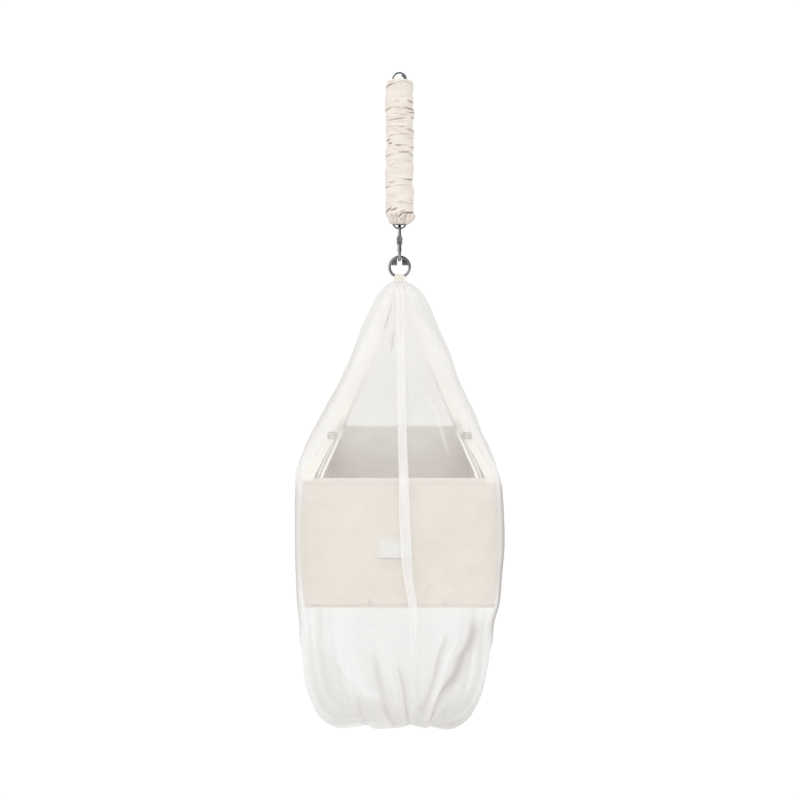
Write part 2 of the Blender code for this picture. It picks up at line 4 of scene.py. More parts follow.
import bmesh
import bpy
import numpy as np
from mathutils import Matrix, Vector


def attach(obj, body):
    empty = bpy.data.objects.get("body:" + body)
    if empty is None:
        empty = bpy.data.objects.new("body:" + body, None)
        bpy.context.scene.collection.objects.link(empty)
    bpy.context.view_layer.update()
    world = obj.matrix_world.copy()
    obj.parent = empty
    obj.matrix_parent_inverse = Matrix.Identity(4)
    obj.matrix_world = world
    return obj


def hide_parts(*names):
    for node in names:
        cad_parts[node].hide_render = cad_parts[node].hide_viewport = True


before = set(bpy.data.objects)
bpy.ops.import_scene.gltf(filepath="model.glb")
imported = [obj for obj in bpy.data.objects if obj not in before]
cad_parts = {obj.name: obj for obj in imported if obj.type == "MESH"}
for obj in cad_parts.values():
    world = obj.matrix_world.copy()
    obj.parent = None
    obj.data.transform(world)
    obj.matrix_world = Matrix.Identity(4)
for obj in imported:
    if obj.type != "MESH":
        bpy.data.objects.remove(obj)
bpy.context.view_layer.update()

ROOT = "hanging_set"
GATE = "gate"
FULL_TURN = 2 * math.pi

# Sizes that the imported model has, in metres
WIRE_R = 0.0017
EYE_R = 0.0148
EYE_INNER_R = 0.0109
LOWER_EYE_Z = -0.3198
COIL_R = 0.0190
COIL_TURNS = 15
COIL_TOP_Z = -0.040
COIL_BOTTOM_Z = -0.293
HOOK_R = 0.0035
HOOK_HALF = 0.0145
HOOK_TOP_Z = LOWER_EYE_Z - EYE_R + WIRE_R + 0.0003 + HOOK_R
HOOK_BOTTOM_Z = -0.4034
NOSE_Z = -0.3520
HINGE_Z = -0.3829
HINGE_END_Z = HOOK_BOTTOM_Z + HOOK_HALF
FORK_LOW_Z = -0.3704
BARREL_R = 0.0040
RING_WIRE_R = 0.0031
RING_R = 0.0224
RING_Z = HOOK_BOTTOM_Z + HOOK_R + 0.0003 - RING_R + RING_WIRE_R
TAB_THICK = 0.0022
TAB_LOW_Z = -0.4620
STRAP_THICK = 0.0016
STRAP_WIDTH = 0.030
STRAP_TOP_WIDTH = 0.024
STRAP_TOP_Z = -0.4500
STRAP_FAN_Z = TAB_LOW_Z - 0.0020
STRAP_FOOT = 0.044
CORNER_TAB_THICK = 0.0014
CRADLE_HALF_X = 0.183
CRADLE_HALF_Y = 0.372
RIM_Z = -0.8262
FLOOR_Z = -1.0765
CANVAS = 0.003
PANEL_GAP = 0.0006
CORNER_BOW = 0.007
END_BULGE = 0.004
SIDE_BULGE = 0.015
FLOOR_SAG = 0.010
LABEL_X = (-0.0412, 0.0259)
LABEL_Z = (-0.9817, -0.9405)

# Sizes of the cloth that are scene.py's own
SIDE_REACH = CRADLE_HALF_Y - CANVAS - PANEL_GAP
WALL_HALF = 0.00125
WALL_ROUND = 0.0017  # how far in the rounding of a wall's edges reaches
STITCH_SINK = 0.0004
LABEL_GAP = 0.0008  # from the panel to the middle of the patch
LABEL_ROUND = 0.0007
SLEEVE_TOP_Z = -0.0150
SLEEVE_HEADER_Z = -0.034
SLEEVE_GATHER_Z = -0.300
SLEEVE_LOW_Z = -0.3256
SLEEVE_EVEN_Z = (-0.0159, -0.3235)  # between these its levels are evenly spaced
SLEEVE_COLUMNS = 128
NET_CUT_ROUND = 2.36  # cloth round the cradle, before it is gathered
NET_COVER = 0.31  # share of the light that one flat layer of the net stops
NET_COUNTS = (56, 9, 110, 44)  # points across half its front, round a corner, along a side, across its back
NET_LEVELS = 232
PLACKET_Z = (-0.4660, -1.1600)
NEAR_SEED = 50
FAR_SEED = 60

# The camera's focal length and the picture's width are in pixels, its tilt in degrees
FOCAL, PICTURE = 986.0, 800.0
EYE = (0.0011, -2.22, -0.4725)
EYE_TILT = 6.3
FLOOR_LEVEL = -2.2
FLOOR_HALF = 9
WHITE = (1.0, 1.0, 1.0)
PAPER = 1.02
AMBIENT = 0.97
LIGHTS = (
    # name, place, what it is aimed at, width, height, watts, colour
    ("key", (-2.0, -2.4, 0.7), (0, 0, -0.7), 1.6, 2.0, 17.0, (1.0, 0.985, 0.96)),
    ("front", (0.9, -3.2, -0.4), (0, 0, -0.8), 2.0, 2.0, 13.0, (1.0, 0.99, 0.975)),
)

NET_ROWS = np.array((
    # z, half width and length, corner radius, roundness, side swell, middle x and y, front line x, fold depth
    (-0.4486, 0.0155, 0.0104, 0.0018, 0, 0, 0, 0, 0, 0),
    (-0.4516, 0.0155, 0.0104, 0.0018, 0, 0, 0, 0, 0, 0),
    (-0.457, 0.027, 0.024, 0.015, 0.8, 0, 0.001, 0, 0.001, 0),
    (-0.4656, 0.0385, 0.042, 0.02, 1, 0, 0.002, 0, 0.001, 0.001),
    (-0.495, 0.059, 0.08, 0.03, 0.8, 0, 0.002, 0, 0.002, 0.002),
    (-0.545, 0.08, 0.127, 0.034, 0.4, 0, 0.001, 0, 0.002, 0.0026),
    (-0.6, 0.0985, 0.177, 0.034, 0.2, 0, 0, 0, 0.003, 0.0028),
    (-0.66, 0.123, 0.233, 0.034, 0.1, 0.002, 0.001, 0, 0.004, 0.0028),
    (-0.72, 0.1515, 0.289, 0.032, 0, 0.004, -0.001, 0, 0.005, 0.0026),
    (-0.78, 0.177, 0.348, 0.028, 0, 0.007, -0.006, 0, 0.006, 0.0024),
    (-0.818, 0.1925, 0.3835, 0.02, 0, 0.01, -0.004, 0, 0.008, 0.0012),
    (-0.842, 0.196, 0.3865, 0.02, 0, 0.012, -0.001, 0, 0.009, 0.0012),
    (-0.9, 0.199, 0.3865, 0.026, 0, 0.015, 0, 0, 0.01, 0.0012),
    (-0.96, 0.2, 0.3865, 0.026, 0, 0.016, 0.001, 0, 0.012, 0.0012),
    (-1.02, 0.197, 0.386, 0.024, 0, 0.013, -0.001, 0, 0.017, 0.0016),
    (-1.07, 0.193, 0.385, 0.012, 0, 0.008, -0.003, 0, 0.022, 0.0018),
    (-1.12, 0.184, 0.38, 0.014, 0, 0.004, -0.006, -0.001, 0.025, 0.0044),
    (-1.15, 0.1835, 0.375, 0.026, 0, 0.003, -0.006, -0.003, 0.0255, 0.0056),
    (-1.18, 0.183, 0.368, 0.04, 0.05, 0.002, -0.006, -0.005, 0.026, 0.007),
    (-1.24, 0.1815, 0.342, 0.055, 0.1, 0, -0.0075, -0.015, 0.027, 0.0095),
    (-1.3, 0.179, 0.294, 0.066, 0.15, 0, -0.009, -0.047, 0.028, 0.0115),
    (-1.34, 0.173, 0.242, 0.066, 0.2, 0, -0.0095, -0.07, 0.029, 0.0125),
    (-1.366, 0.162, 0.184, 0.062, 0.3, 0, -0.008, -0.086, 0.03, 0.012),
    (-1.388, 0.144, 0.124, 0.055, 0.4, 0, -0.004, -0.098, 0.031, 0.01),
    (-1.404, 0.103, 0.075, 0.045, 0.8, 0, 0.008, -0.106, 0.031, 0.007),
    (-1.416, 0.062, 0.04, 0.03, 1, 0, 0.019, -0.111, 0.031, 0.004),
    (-1.4235, 0.028, 0.019, 0.012, 1, 0, 0.028, -0.114, 0.031, 0.0015),
    (-1.4225, 0.0095, 0.0095, 0.006, 1, 0, 0.032, -0.116, 0.031, 0),
))
RIM_ROW = 10
NET_FOLDS = (
    # share of the way round from the front line, share of its width, depth
    (0.03, 0.018, 1), (0.062, 0.016, -0.8), (0.095, 0.02, 1.1), (0.14, 0.024, -0.9), (0.19, 0.03, 1),
    (0.25, 0.034, -0.8), (0.315, 0.034, 1), (0.38, 0.03, -0.9), (0.44, 0.026, 1), (0.5, 0.028, -0.8),
    (0.56, 0.028, 1.1), (0.62, 0.03, -0.8), (0.685, 0.034, 0.9), (0.75, 0.034, -0.9), (0.81, 0.03, 1),
    (0.858, 0.022, -0.9), (0.9, 0.02, 1.1), (0.936, 0.016, -0.8), (0.968, 0.018, 1),
)
NET_LINES = (
    # share round and z of its top, middle and foot, half width, rise, how dark its painted shade is (under 0,
    # a painted highlight), layers added
    (0.9187, -1.1609, 0.9141, -1.282, 0.9126, -1.3577, 0.009, -0.003, 0.35, 0.56),
    (0.9345, -1.14, 0.929, -1.2068, 0.93, -1.3, 0.009, 0.0035, -0.9, -0.36),
    (0.9232, -1.1942, 0.93, -1.2387, 0.939, -1.3761, 0.006, -0.003, 0.9, 1.44),
    (0.9458, -1.2119, 0.9575, -1.28, 0.9774, -1.3613, 0.006, 0.004, -1.6, -0.64),
    (0.9661, -1.1764, 0.9707, -1.2842, 0.979, -1.36, 0.006, -0.003, 1.1, 1.76),
    (0.9729, -1.1217, 0.9774, -1.2119, 0.99, -1.33, 0.006, 0.005, -1.9, -0.76),
    (0.9865, -1.2043, 0.9932, -1.2665, 0.999, -1.34, 0.006, -0.0035, 1.4, 2.24),
    (1.0005, -1.1348, 1.0039, -1.25, 1.006, -1.34, 0.006, 0.004, -1.6, -0.64),
    (1.0334, -1.1348, 1.031, -1.215, 1.0157, -1.3107, 0.009, -0.004, 1.3, 2.08),
    (1.047, -1.15, 1.0412, -1.2292, 1.026, -1.32, 0.007, 0.004, -1.2, -0.48),
    (1.0609, -1.1087, 1.0687, -1.2119, 1.038, -1.326, 0.011, -0.0045, 1.7, 2.72),
    (1.0722, -1.1712, 1.0738, -1.24, 1.056, -1.325, 0.005, 0.0035, -1.8, -0.72),
    (1.088, -1.13, 1.085, -1.26, 1.074, -1.3705, 0.008, -0.003, 0.7, 1.12),
    (0.9571, -0.499, 0.947, -0.529, 0.938, -0.554, 0.0085, -0.0008, 2.6, 3.7),
    (0.98, -0.554, 0.979, -0.576, 0.9778, -0.6, 0.0045, -0.0008, 2, 2.4),
    (1.0412, -0.6866, 1.0434, -0.73, 1.0452, -0.7708, 0.0032, 0.0008, -2.6, 1.5),
    (1.074, -0.496, 1.0768, -0.53, 1.0784, -0.564, 0.011, -0.001, 0.9, 1.44),
    (1.118, -0.485, 1.12, -0.53, 1.121, -0.575, 0.018, -0.002, 0.8, 1.28),
    (1.0216, -0.61, 1.0216, -0.635, 1.0216, -0.664, 0.008, -0.0008, 0.6, 0.96),
    (0.97, -0.4585, 0.969, -0.464, 0.968, -0.47, 0.0045, 0, 1.8, 0),
    (1.04, -0.46, 1.04, -0.464, 1.041, -0.4685, 0.0035, 0, 1.6, 0),
)
PANEL_CREASES = (
    # x and z of one end, then of the other, in mm, how dark their painted shade is; the near end panel
    (-59, -1064, -55, -1075, 0.4), (-62, -1073, -54, -1066, 0.2), (60, -1036, 46, -1060, 0.22),
    (85, -1062, 90, -1075, 0.4), (-30, -990, -10, -1000, 0.08), (108, -1052, 100, -1068, 0.15),
)

SLEEVE_ROWS = np.array((
    # z, radius
    (-0.015, 0.017), (-0.0158, 0.0262), (-0.02, 0.0288), (-0.034, 0.0298), (-0.04, 0.0284), (-0.066, 0.0308),
    (-0.101, 0.03), (-0.128, 0.0308), (-0.16, 0.0302), (-0.2, 0.0306), (-0.235, 0.03), (-0.273, 0.0308),
    (-0.299, 0.0302), (-0.313, 0.0278), (-0.3225, 0.0236), (-0.3256, 0.017),
))
SLEEVE_CREASES = (
    # along x and z of one end, then of the other, depth and half width, in mm; the front of the sleeve
    (-28, -35, -11, -25, 2.6, 1.1), (-11, -25, 14, -20, 1, 0.9), (14, -20, 29, -26, 1.3, 1),
    (-27, -25, -12, -20, 1, 0.9), (12, -30, 29, -34, 0.8, 1),
    (-12, -62, 1, -62, 1, 1.1), (19, -62, 28, -65, 2.6, 1.3), (12, -77, 31, -81, 3, 1.4),
    (-29, -80, -17, -77, 1.8, 1.3), (-17, -77, 12, -77, 1, 1.1), (19, -87, 29, -85, 1.9, 1.2),
    (1, -93, 19, -92, 1.4, 1.1), (27, -96, 33, -100, 2.8, 1.4), (-25, -103, 17, -99, 1.7, 1.2),
    (-12, -108, 8, -107, 0.9, 1), (-4, -118, 12, -118, 1.6, 1.2), (16, -122, 32, -128, 2, 1.3),
    (1, -133, 22, -133, 1.4, 1.2), (-26, -138, -12, -134, 1.4, 1.2), (-31, -147, -22, -144, 2.6, 1.3),
    (-27, -152, -18, -152, 2.2, 1.4), (-11, -157, 4, -157, 2.2, 1.3), (4, -157, 20, -156, 0.9, 1),
    (26, -160, 33, -163, 2.2, 1.3), (-2, -172, 24, -171, 2, 1.5), (-31, -180, -14, -176, 1.5, 1.3),
    (22, -175, 33, -179, 1.6, 1.2), (-26, -200, -18, -200, 1.2, 1.1), (-18, -200, -11, -195, 0.9, 1),
    (11, -230, 28, -229, 2.2, 1.3), (-26, -237, -12, -234, 1.4, 1.2), (-29, -246, -22, -244, 1.6, 1.2),
    (-8, -243, 12, -243, 1.1, 1.1), (-24, -268, -11, -269, 0.9, 1), (-8, -279, 18, -281, 1.1, 1.1),
    (18, -281, 33, -284, 1.2, 1.1), (-27, -286, -18, -286, 0.9, 1), (-31, -304, -22, -291, 3, 1.5),
    (-22, -297, -6, -291, 2, 1.4), (-4, -312, 6, -302, 2.4, 1.5), (6, -302, 28, -300, 2.8, 1.6),
    (-1, -300, 12, -296, 1.4, 1.3), (-9, -312, -7, -302, 1.6, 1.2), (10, -312, 18, -305, 1.4, 1.2),
    (-16, -318, -12, -305, 1.4, 1.3), (2, -318, 8, -312, 1.6, 1.3), (-24, -312, -18, -304, 1.4, 1.3),
)

PLACKET_WIDTHS = np.array((
    # z, width across the folded band
    (-0.466, 0.017), (-0.7, 0.0172), (-0.82, 0.0178), (-0.905, 0.0206), (-0.96, 0.0206), (-0.99, 0.0194),
    (-1.02, 0.0168), (-1.05, 0.0158), (-1.09, 0.0156), (-1.12, 0.0138), (-1.16, 0.005),
))


# ---------------------------------------------------------------- numbers

def blend(a, b, share):
    return a + (b - a) * share


def ease(share):
    share = np.clip(share, 0.0, 1.0)
    return share * share * (3 - 2 * share)


def over(at, start, reach):
    """0 up to start, then softly up to 1 within reach above it."""
    return ease((at - start) / reach)


def under(at, start, reach):
    """0 down to start, then softly up to 1 within reach below it."""
    return ease((start - at) / reach)


def bell(away, wide):
    return np.exp(-((away / wide) ** 2))


def rounded(share):
    """From 0 to 1 along a quarter of a circle."""
    return np.sqrt(np.clip(1 - (1 - np.clip(share, 0, 1)) ** 2, 0, 1))


def unit(v):
    return v / np.maximum(np.linalg.norm(v, axis=-1, keepdims=True), 1e-12)


def together(*parts):
    """Points out of their coordinates."""
    return np.stack(np.broadcast_arrays(*parts), axis=-1)


def lengths(points):
    """How far along a line each of its points is."""
    return np.concatenate([[0], np.cumsum(np.linalg.norm(np.diff(points, axis=0), axis=1))])


def off_segment(x, z, run_x, run_z):
    """For points as seen from a segment's start: the nearest share along it, how far away and how far up."""
    share = np.clip((x * run_x + z * run_z) / (run_x**2 + run_z**2), 0, 1)
    up = z - share * run_z
    return share, np.hypot(x - share * run_x, up), up


def through(xs, ys, at):
    """Smooth values between the rows of a table, with no overshoot."""
    xs = np.asarray(xs, float)
    ys = np.asarray(ys, float)
    if ys.ndim == 1:
        ys = ys[:, None]
    rise = np.diff(ys, axis=0) / np.diff(xs)[:, None]
    slope = np.zeros_like(ys)
    same = rise[1:] * rise[:-1] > 0
    safe = np.where(same, rise[1:] + rise[:-1], 1.0)
    slope[1:-1] = np.where(same, 2 * rise[1:] * rise[:-1] / safe, 0.0)
    slope[0], slope[-1] = rise[0], rise[-1]
    n = np.clip(np.searchsorted(xs, at, side="right") - 1, 0, len(xs) - 2)
    h = np.diff(xs)[n][:, None]
    t = ((at - xs[n])[:, None]) / h
    made = (2 * t**3 - 3 * t**2 + 1) * ys[n] + (t**3 - 2 * t**2 + t) * h * slope[n]
    return made + (3 * t**2 - 2 * t**3) * ys[n + 1] + (t**3 - t**2) * h * slope[n + 1]


def line_through(points, count):
    """Points evenly spaced along a smooth line through a few."""
    points = np.asarray(points, float)
    far = lengths(points)
    return through(far, points, np.linspace(0, far[-1], count))


def waves(seed, x, y, size, count=9):
    """Soft uneven ups and downs, about -1 to 1, whose bumps are about size across."""
    pick = np.random.default_rng(seed)
    total = np.zeros(np.broadcast(x, y).shape)
    for _ in range(count):
        turn = pick.uniform(0, FULL_TURN)
        pitch = size * pick.uniform(0.7, 2.0)
        phase = pick.uniform(0, FULL_TURN)
        total += np.sin((x * math.cos(turn) + y * math.sin(turn)) * FULL_TURN / pitch + phase)
    return total / math.sqrt(count)


def edged(low, high, count, near):
    """Places from low to high, with more of them close to both ends, for a rounded edge."""
    bend = near * (1 - np.cos(np.linspace(0, math.pi / 2, 5)))[:-1]
    return np.concatenate([low + bend, np.linspace(low + near, high - near, count), (high - bend)[::-1]])


# ---------------------------------------------------------------- meshes

def placed(name, data):
    made = bpy.data.objects.new(name, data)
    bpy.context.scene.collection.objects.link(made)
    return made


def piece_from(name, points, faces, uvs=None):
    """A smooth mesh object. uvs are one pair for each point, in metres of cloth."""
    mesh = bpy.data.meshes.new(name)
    points = np.asarray(points, float).reshape(-1, 3)
    mesh.from_pydata(points.tolist(), [], [tuple(int(v) for v in f) for f in faces])
    mesh.update()
    mesh.polygons.foreach_set("use_smooth", [True] * len(mesh.polygons))
    if uvs is not None:
        layer = mesh.uv_layers.new(name="cloth")
        corner = np.zeros(len(mesh.loops), np.int32)
        mesh.loops.foreach_get("vertex_index", corner)
        layer.data.foreach_set("uv", uvs.reshape(-1, 2)[corner].astype(np.float32).ravel())
    return placed(name, mesh)


def piece_from_shape(name, shape, sharp, bevel, segments):
    """A smooth mesh object out of a bmesh whose sharp edges are rounded first."""
    bmesh.ops.bevel(
        shape, geom=sharp, offset=bevel, segments=segments, profile=0.5, affect="EDGES", clamp_overlap=True
    )
    for face in shape.faces:
        face.smooth = True
    mesh = bpy.data.meshes.new(name)
    shape.to_mesh(mesh)
    shape.free()
    return placed(name, mesh)


def mark(thing, values, name="mark"):
    """A number at each point of the mesh, which its material reads."""
    layer = thing.data.attributes.new(name, "FLOAT", "POINT")
    layer.data.foreach_set("value", np.asarray(values, np.float32).ravel())
    return thing


def joined(name, things):
    """One object out of several mesh objects."""
    first = things[0]
    with bpy.context.temp_override(
        active_object=first, selected_editable_objects=things, selected_objects=things, object=first
    ):
        bpy.ops.object.join()
    first.name = first.data.name = name
    return first


def grid_faces(rows, columns, wrap=False, capped=False, start=0):
    """The faces of a grid of points. wrap closes its rows to rings, and capped its two ends."""
    r, c = np.meshgrid(np.arange(rows - 1), np.arange(columns if wrap else columns - 1), indexing="ij")
    n, here, next_row = (c + 1) % columns, r * columns, (r + 1) * columns
    quads = together(here + c, next_row + c, next_row + n, here + n)
    faces = (quads.reshape(-1, 4) + start).tolist()
    if capped:
        last = start + (rows - 1) * columns
        faces += [range(start, start + columns), range(last + columns - 1, last - 1, -1)]
    return faces


def rings(turn, side, other):
    """Circles of radius 1, each in the plane of its two directions."""
    return np.cos(turn)[None, :, None] * side[:, None] + np.sin(turn)[None, :, None] * other[:, None]


def tube(name, points, radius, sides=12, closed=False, domed=True):
    """A round bar along a line, closed to a loop or with domed or flat ends."""
    points = np.asarray(points, float)
    swell = np.ones(len(points))
    if domed and not closed:
        turn = np.linspace(math.pi / 2, 0, 5)[:-1]
        out = radius * np.sin(turn)[:, None]
        ends = np.maximum(np.cos(turn), 0.02)
        head = points[0] + unit(points[0] - points[1]) * out
        tail = points[-1] + unit(points[-1] - points[-2]) * out[::-1]
        points = np.concatenate([head, points, tail])
        swell = np.concatenate([ends, swell, ends[::-1]])
    count = len(points)
    if closed:
        along = unit(np.roll(points, -1, axis=0) - np.roll(points, 1, axis=0))
    else:
        along = unit(np.gradient(points, axis=0))
    side = np.zeros_like(points)
    start = np.array((0.0, 1.0, 0.0) if abs(along[0][1]) <= 0.95 else (1.0, 0.0, 0.0))
    side[0] = unit(start - along[0] * (along[0] @ start))
    for n in range(1, count):
        side[n] = unit(side[n - 1] - along[n] * (along[n] @ side[n - 1]))
    turn = np.linspace(0, FULL_TURN, sides, endpoint=False)
    verts = points[:, None] + rings(turn, side, np.cross(along, side)) * (radius * swell)[:, None, None]
    faces = grid_faces(count, sides, wrap=True, capped=not closed)
    if closed:
        last = (count - 1) * sides
        faces += [(last + c, c, (c + 1) % sides, last + (c + 1) % sides) for c in range(sides)]
    return piece_from(name, verts, faces, together(turn[None, :] * radius, lengths(points)[:, None]))


def ribbon(name, centres, width, thick, columns, edge, ripple=None, shade=None):
    """A flat woven band that lies across x along a line, with round selvedges. edge makes them thicker."""
    count = len(centres)
    along = unit(np.gradient(centres, axis=0))
    across = unit((1.0, 0.0, 0.0) - along * along[:, :1])
    face = np.cross(along, across)
    width = np.broadcast_to(width, (count,))
    w = np.linspace(-1, 1, columns)
    bend = np.linspace(0, math.pi, 7)[1:-1]
    # The band's section: share across its flat, and the way out and up round its selvedges
    spots = [(a, 0.0, 1.0) for a in w]
    spots += [(1.0, math.sin(b), math.cos(b)) for b in bend]
    spots += [(a, 0.0, -1.0) for a in reversed(w)]
    spots += [(-1.0, -math.sin(b), -math.cos(b)) for b in bend]
    at, out, up = np.array(spots).T[:, None]
    sideways = at * (width / 2 - thick / 2)[:, None] + out * thick / 2
    upward = np.broadcast_to(up * thick / 2 * (1 + edge * np.abs(at) ** 8), sideways.shape)
    if ripple is not None:
        upward = upward + ripple(at, np.linspace(0, 1, count)[:, None])
    verts = centres[:, None] + across[:, None] * sideways[..., None] + face[:, None] * upward[..., None]
    faces = grid_faces(count, len(spots), wrap=True, capped=True)
    band = piece_from(name, verts, faces, together(sideways, lengths(centres)[:, None]))
    if shade is not None:
        mark(band, shade(*np.broadcast_arrays(at, centres[:, 2:])))
    return band


def rounded_half(a, a_ends, b, b_ends, half, near):
    """Half thickness on a grid that rounds off to 0 at all four edges."""
    for at, (low, high) in ((a, a_ends), (b, b_ends)):
        half = half * rounded(np.minimum(at - low, high - at) / near)
    return half


def thick_cloth(name, middle, half, u, v, flip=False, shade=None):
    """A closed cloth round a grid of its middle points. half is half its thickness, and 0 at its edges."""
    rows, columns = middle.shape[:2]
    normal = unit(np.cross(np.gradient(middle, axis=1), np.gradient(middle, axis=0)))
    out = (-normal if flip else normal) * half[..., None]

    def both(front, back):
        size = front.shape[2] if front.ndim == 3 else 1
        return np.concatenate([front.reshape(-1, size), back[1:-1, 1:-1].reshape(-1, size)])

    index = np.arange(rows * columns).reshape(rows, columns)
    behind = index.copy()
    behind[1:-1, 1:-1] = rows * columns + index[:rows - 2, :columns - 2] - 2 * np.arange(rows - 2)[:, None]
    faces = []
    for at, swap in ((index, flip), (behind, not flip)):
        quads = together(at[:-1, :-1], at[:-1, 1:], at[1:, 1:], at[1:, :-1]).reshape(-1, 4)
        faces += (quads[:, ::-1] if swap else quads).tolist()
    uv = together(u, v)
    cloth = piece_from(name, both(middle + out, middle - out), faces, both(uv, uv))
    return cloth if shade is None else mark(cloth, both(shade, shade))


def stitches(name, path, out, long=0.0026, gap=0.0012, radius=0.00032):
    """A row of separate thread stitches along a line of points, lying on a face that looks along out."""
    far = lengths(path)
    count = max(int(far[-1] / (long + gap)), 1)
    out = np.asarray(out, float)
    size = radius * np.array((0.15, 0.75, 1.0, 0.75, 0.15))
    rise = radius * np.array((-0.6, 0.2, 0.7, 0.2, -0.6)) + 0.0001
    sides = 6
    turn = np.linspace(0, FULL_TURN, sides, endpoint=False)
    verts, faces = [], []
    for n in range(count):
        start = (far[-1] - count * (long + gap) + gap) / 2 + n * (long + gap)
        spots = start + long * np.array((0.0, 0.12, 0.5, 0.88, 1.0))
        centre = np.stack([np.interp(spots, far, path[:, k]) for k in range(3)], axis=1)
        side = unit(np.cross(out, unit(centre[-1] - centre[0])))
        ring = rings(turn, side[None, :], out[None, :])
        faces += grid_faces(len(spots), sides, wrap=True, capped=True, start=len(verts))
        verts.extend(((centre + out * rise[:, None])[:, None] + ring * size[:, None, None]).reshape(-1, 3))
    return piece_from(name, verts, faces)


# ---------------------------------------------------------------- materials

class Number:
    """What a shader node gives. Sums with it add Math nodes."""

    def __init__(self, made, output=0):
        self.socket = made.outputs[output]

    def __add__(self, other):
        return maths("ADD", self, other)

    def __sub__(self, other):
        return maths("SUBTRACT", self, other)

    def __rsub__(self, other):
        return maths("SUBTRACT", other, self)

    def __mul__(self, other):
        return maths("MULTIPLY", self, other)


def feed(made, inputs):
    """Sets inputs of a node to values, to colours or to what other nodes give."""
    for key, value in inputs.items():
        socket = made.inputs[key]
        if isinstance(value, bpy.types.Node):
            value = value.outputs[0]
        value = getattr(value, "socket", value)
        if isinstance(value, bpy.types.NodeSocket):
            socket.id_data.links.new(value, socket)
        else:
            socket.default_value = (*value, 1.0) if socket.type == "RGBA" else value


def node(tree, kind, inputs=None, **settings):
    made = tree.nodes.new(kind)
    for key, value in settings.items():
        setattr(made, key, value)
    feed(made, inputs or {})
    return made


def maths(operation, a, b=0.0):
    tree = (a if isinstance(a, Number) else b).socket.id_data
    return Number(node(tree, "ShaderNodeMath", {0: a, 1: b}, operation=operation))


def clamped(number):
    """Keeps the result of a sum between 0 and 1."""
    number.socket.node.use_clamp = True
    return number


def mixed(share, a, b):
    """A colour between two."""
    return Number(node(share.socket.id_data, "ShaderNodeMix", {0: share, 6: a, 7: b}, data_type="RGBA"), 2)


def attribute(tree, name):
    return Number(node(tree, "ShaderNodeAttribute", attribute_name=name), "Fac")


def noise(tree, scale, detail):
    where = Number(node(tree, "ShaderNodeTexCoord"), "Object")
    return Number(node(tree, "ShaderNodeTexNoise", {"Vector": where, "Scale": scale, "Detail": detail}))


def shown(tree, kind, surface):
    """Ends a node tree in its output."""
    tree.links.new(surface.outputs[0], node(tree, kind).inputs[0])


def new_material(name):
    made = bpy.data.materials.new(name)
    made.use_nodes = True
    return made, made.node_tree, made.node_tree.nodes["Principled BSDF"]


def cloth_material(name, colour, dark, pitch, weave, mottle=9.0, twill=False, deep=(0.20, 0.145, 0.10)):
    """Woven cloth. Its threads follow its UVs, which are in metres. The attribute mark mixes in painted
    shade, the colour deep, in creases, gathers and along edges.
    """
    made, tree, shader = new_material(name)
    split = node(tree, "ShaderNodeSeparateXYZ", {0: node(tree, "ShaderNodeUVMap", uv_map="cloth")})
    turn = FULL_TURN / pitch
    across = Number(split)
    weft_at = Number(split, 1) * turn
    if twill:
        weft_at = weft_at + maths("ABSOLUTE", across) * (turn * 0.8)
    weft = maths("SINE", weft_at)
    threads = maths("SINE", across * turn) * weft
    if twill:
        threads = weft * 0.7 + threads * 0.3
    slub = noise(tree, 350.0, 2.0)
    shade = clamped(threads * 0.25 + noise(tree, mottle, 4.0) + (slub - 0.5) * 0.6)
    height = threads * 0.5 + slub
    # Base Color takes painted shade, the colour deep, where the attribute mark is over 0
    feed(shader, {
        "Base Color": mixed(clamped(attribute(tree, "mark") * 1.0), mixed(shade, dark, colour), deep),
        "Normal": node(tree, "ShaderNodeBump", {"Height": height, "Strength": weave, "Distance": 0.0004}),
        "Roughness": 0.9,
        "Sheen Weight": 0.25,
        "Sheen Roughness": 0.5,
        "Specular IOR Level": 0.2,
    })
    return made


def sheer_material(name, colour, cover, deep=(0.50, 0.475, 0.45), vary=0.10):
    """Fine sheer net, lit alike from both faces. The attribute cover says how much cloth is drawn together at
    a point, and mark is painted shade, the colour deep, in folds and low down, or under 0 a painted highlight
    on ridges and high up."""
    made, tree, shader = new_material(name)
    cloud = noise(tree, 14.0, 3.0)
    uneven = cloud * (vary * 2) + (1.0 - vary * 1.5) + noise(tree, 240.0, 1.0) * vary
    left = maths("POWER", 1.0 - cover, attribute(tree, "cover") * uneven)
    tint = mixed(cloud, tuple(0.97 * c for c in colour), tuple(min(1.03 * c, 1.0) for c in colour))
    # Painted shade where mark is over 0, and a painted highlight where it is under 0
    tint = mixed(clamped(attribute(tree, "mark") * 1.0), tint, deep)
    tint = mixed(clamped(attribute(tree, "mark") * -1.0), tint, (0.99, 0.985, 0.97))
    feed(shader, {"Base Color": tint, "Roughness": 0.95, "Specular IOR Level": 0.0})
    back_lit = node(tree, "ShaderNodeBsdfTranslucent", {"Color": tint})
    lit = node(tree, "ShaderNodeMixShader", {0: 0.5, 1: shader, 2: back_lit})
    clear = node(tree, "ShaderNodeBsdfTransparent")
    feed(tree.nodes["Material Output"], {0: node(tree, "ShaderNodeMixShader", {0: left, 1: lit, 2: clear})})
    return made


def metal_material(name, colour, dark, rough):
    """Bare metal, brighter along its rubbed edges."""
    made, tree, shader = new_material(name)
    fine = noise(tree, 900.0, 3.0)
    wear_and_painted_shade = clamped((Number(node(tree, "ShaderNodeNewGeometry"), "Pointiness") - 0.48) * 6.0)
    feed(shader, {
        "Base Color": mixed(clamped(noise(tree, 60.0, 5.0) + wear_and_painted_shade), dark, colour),
        "Roughness": fine * 0.2 + (rough - 0.1),
        "Normal": node(tree, "ShaderNodeBump", {"Height": fine, "Strength": 0.15, "Distance": 0.0002}),
        "Metallic": 1.0,
    })
    return made


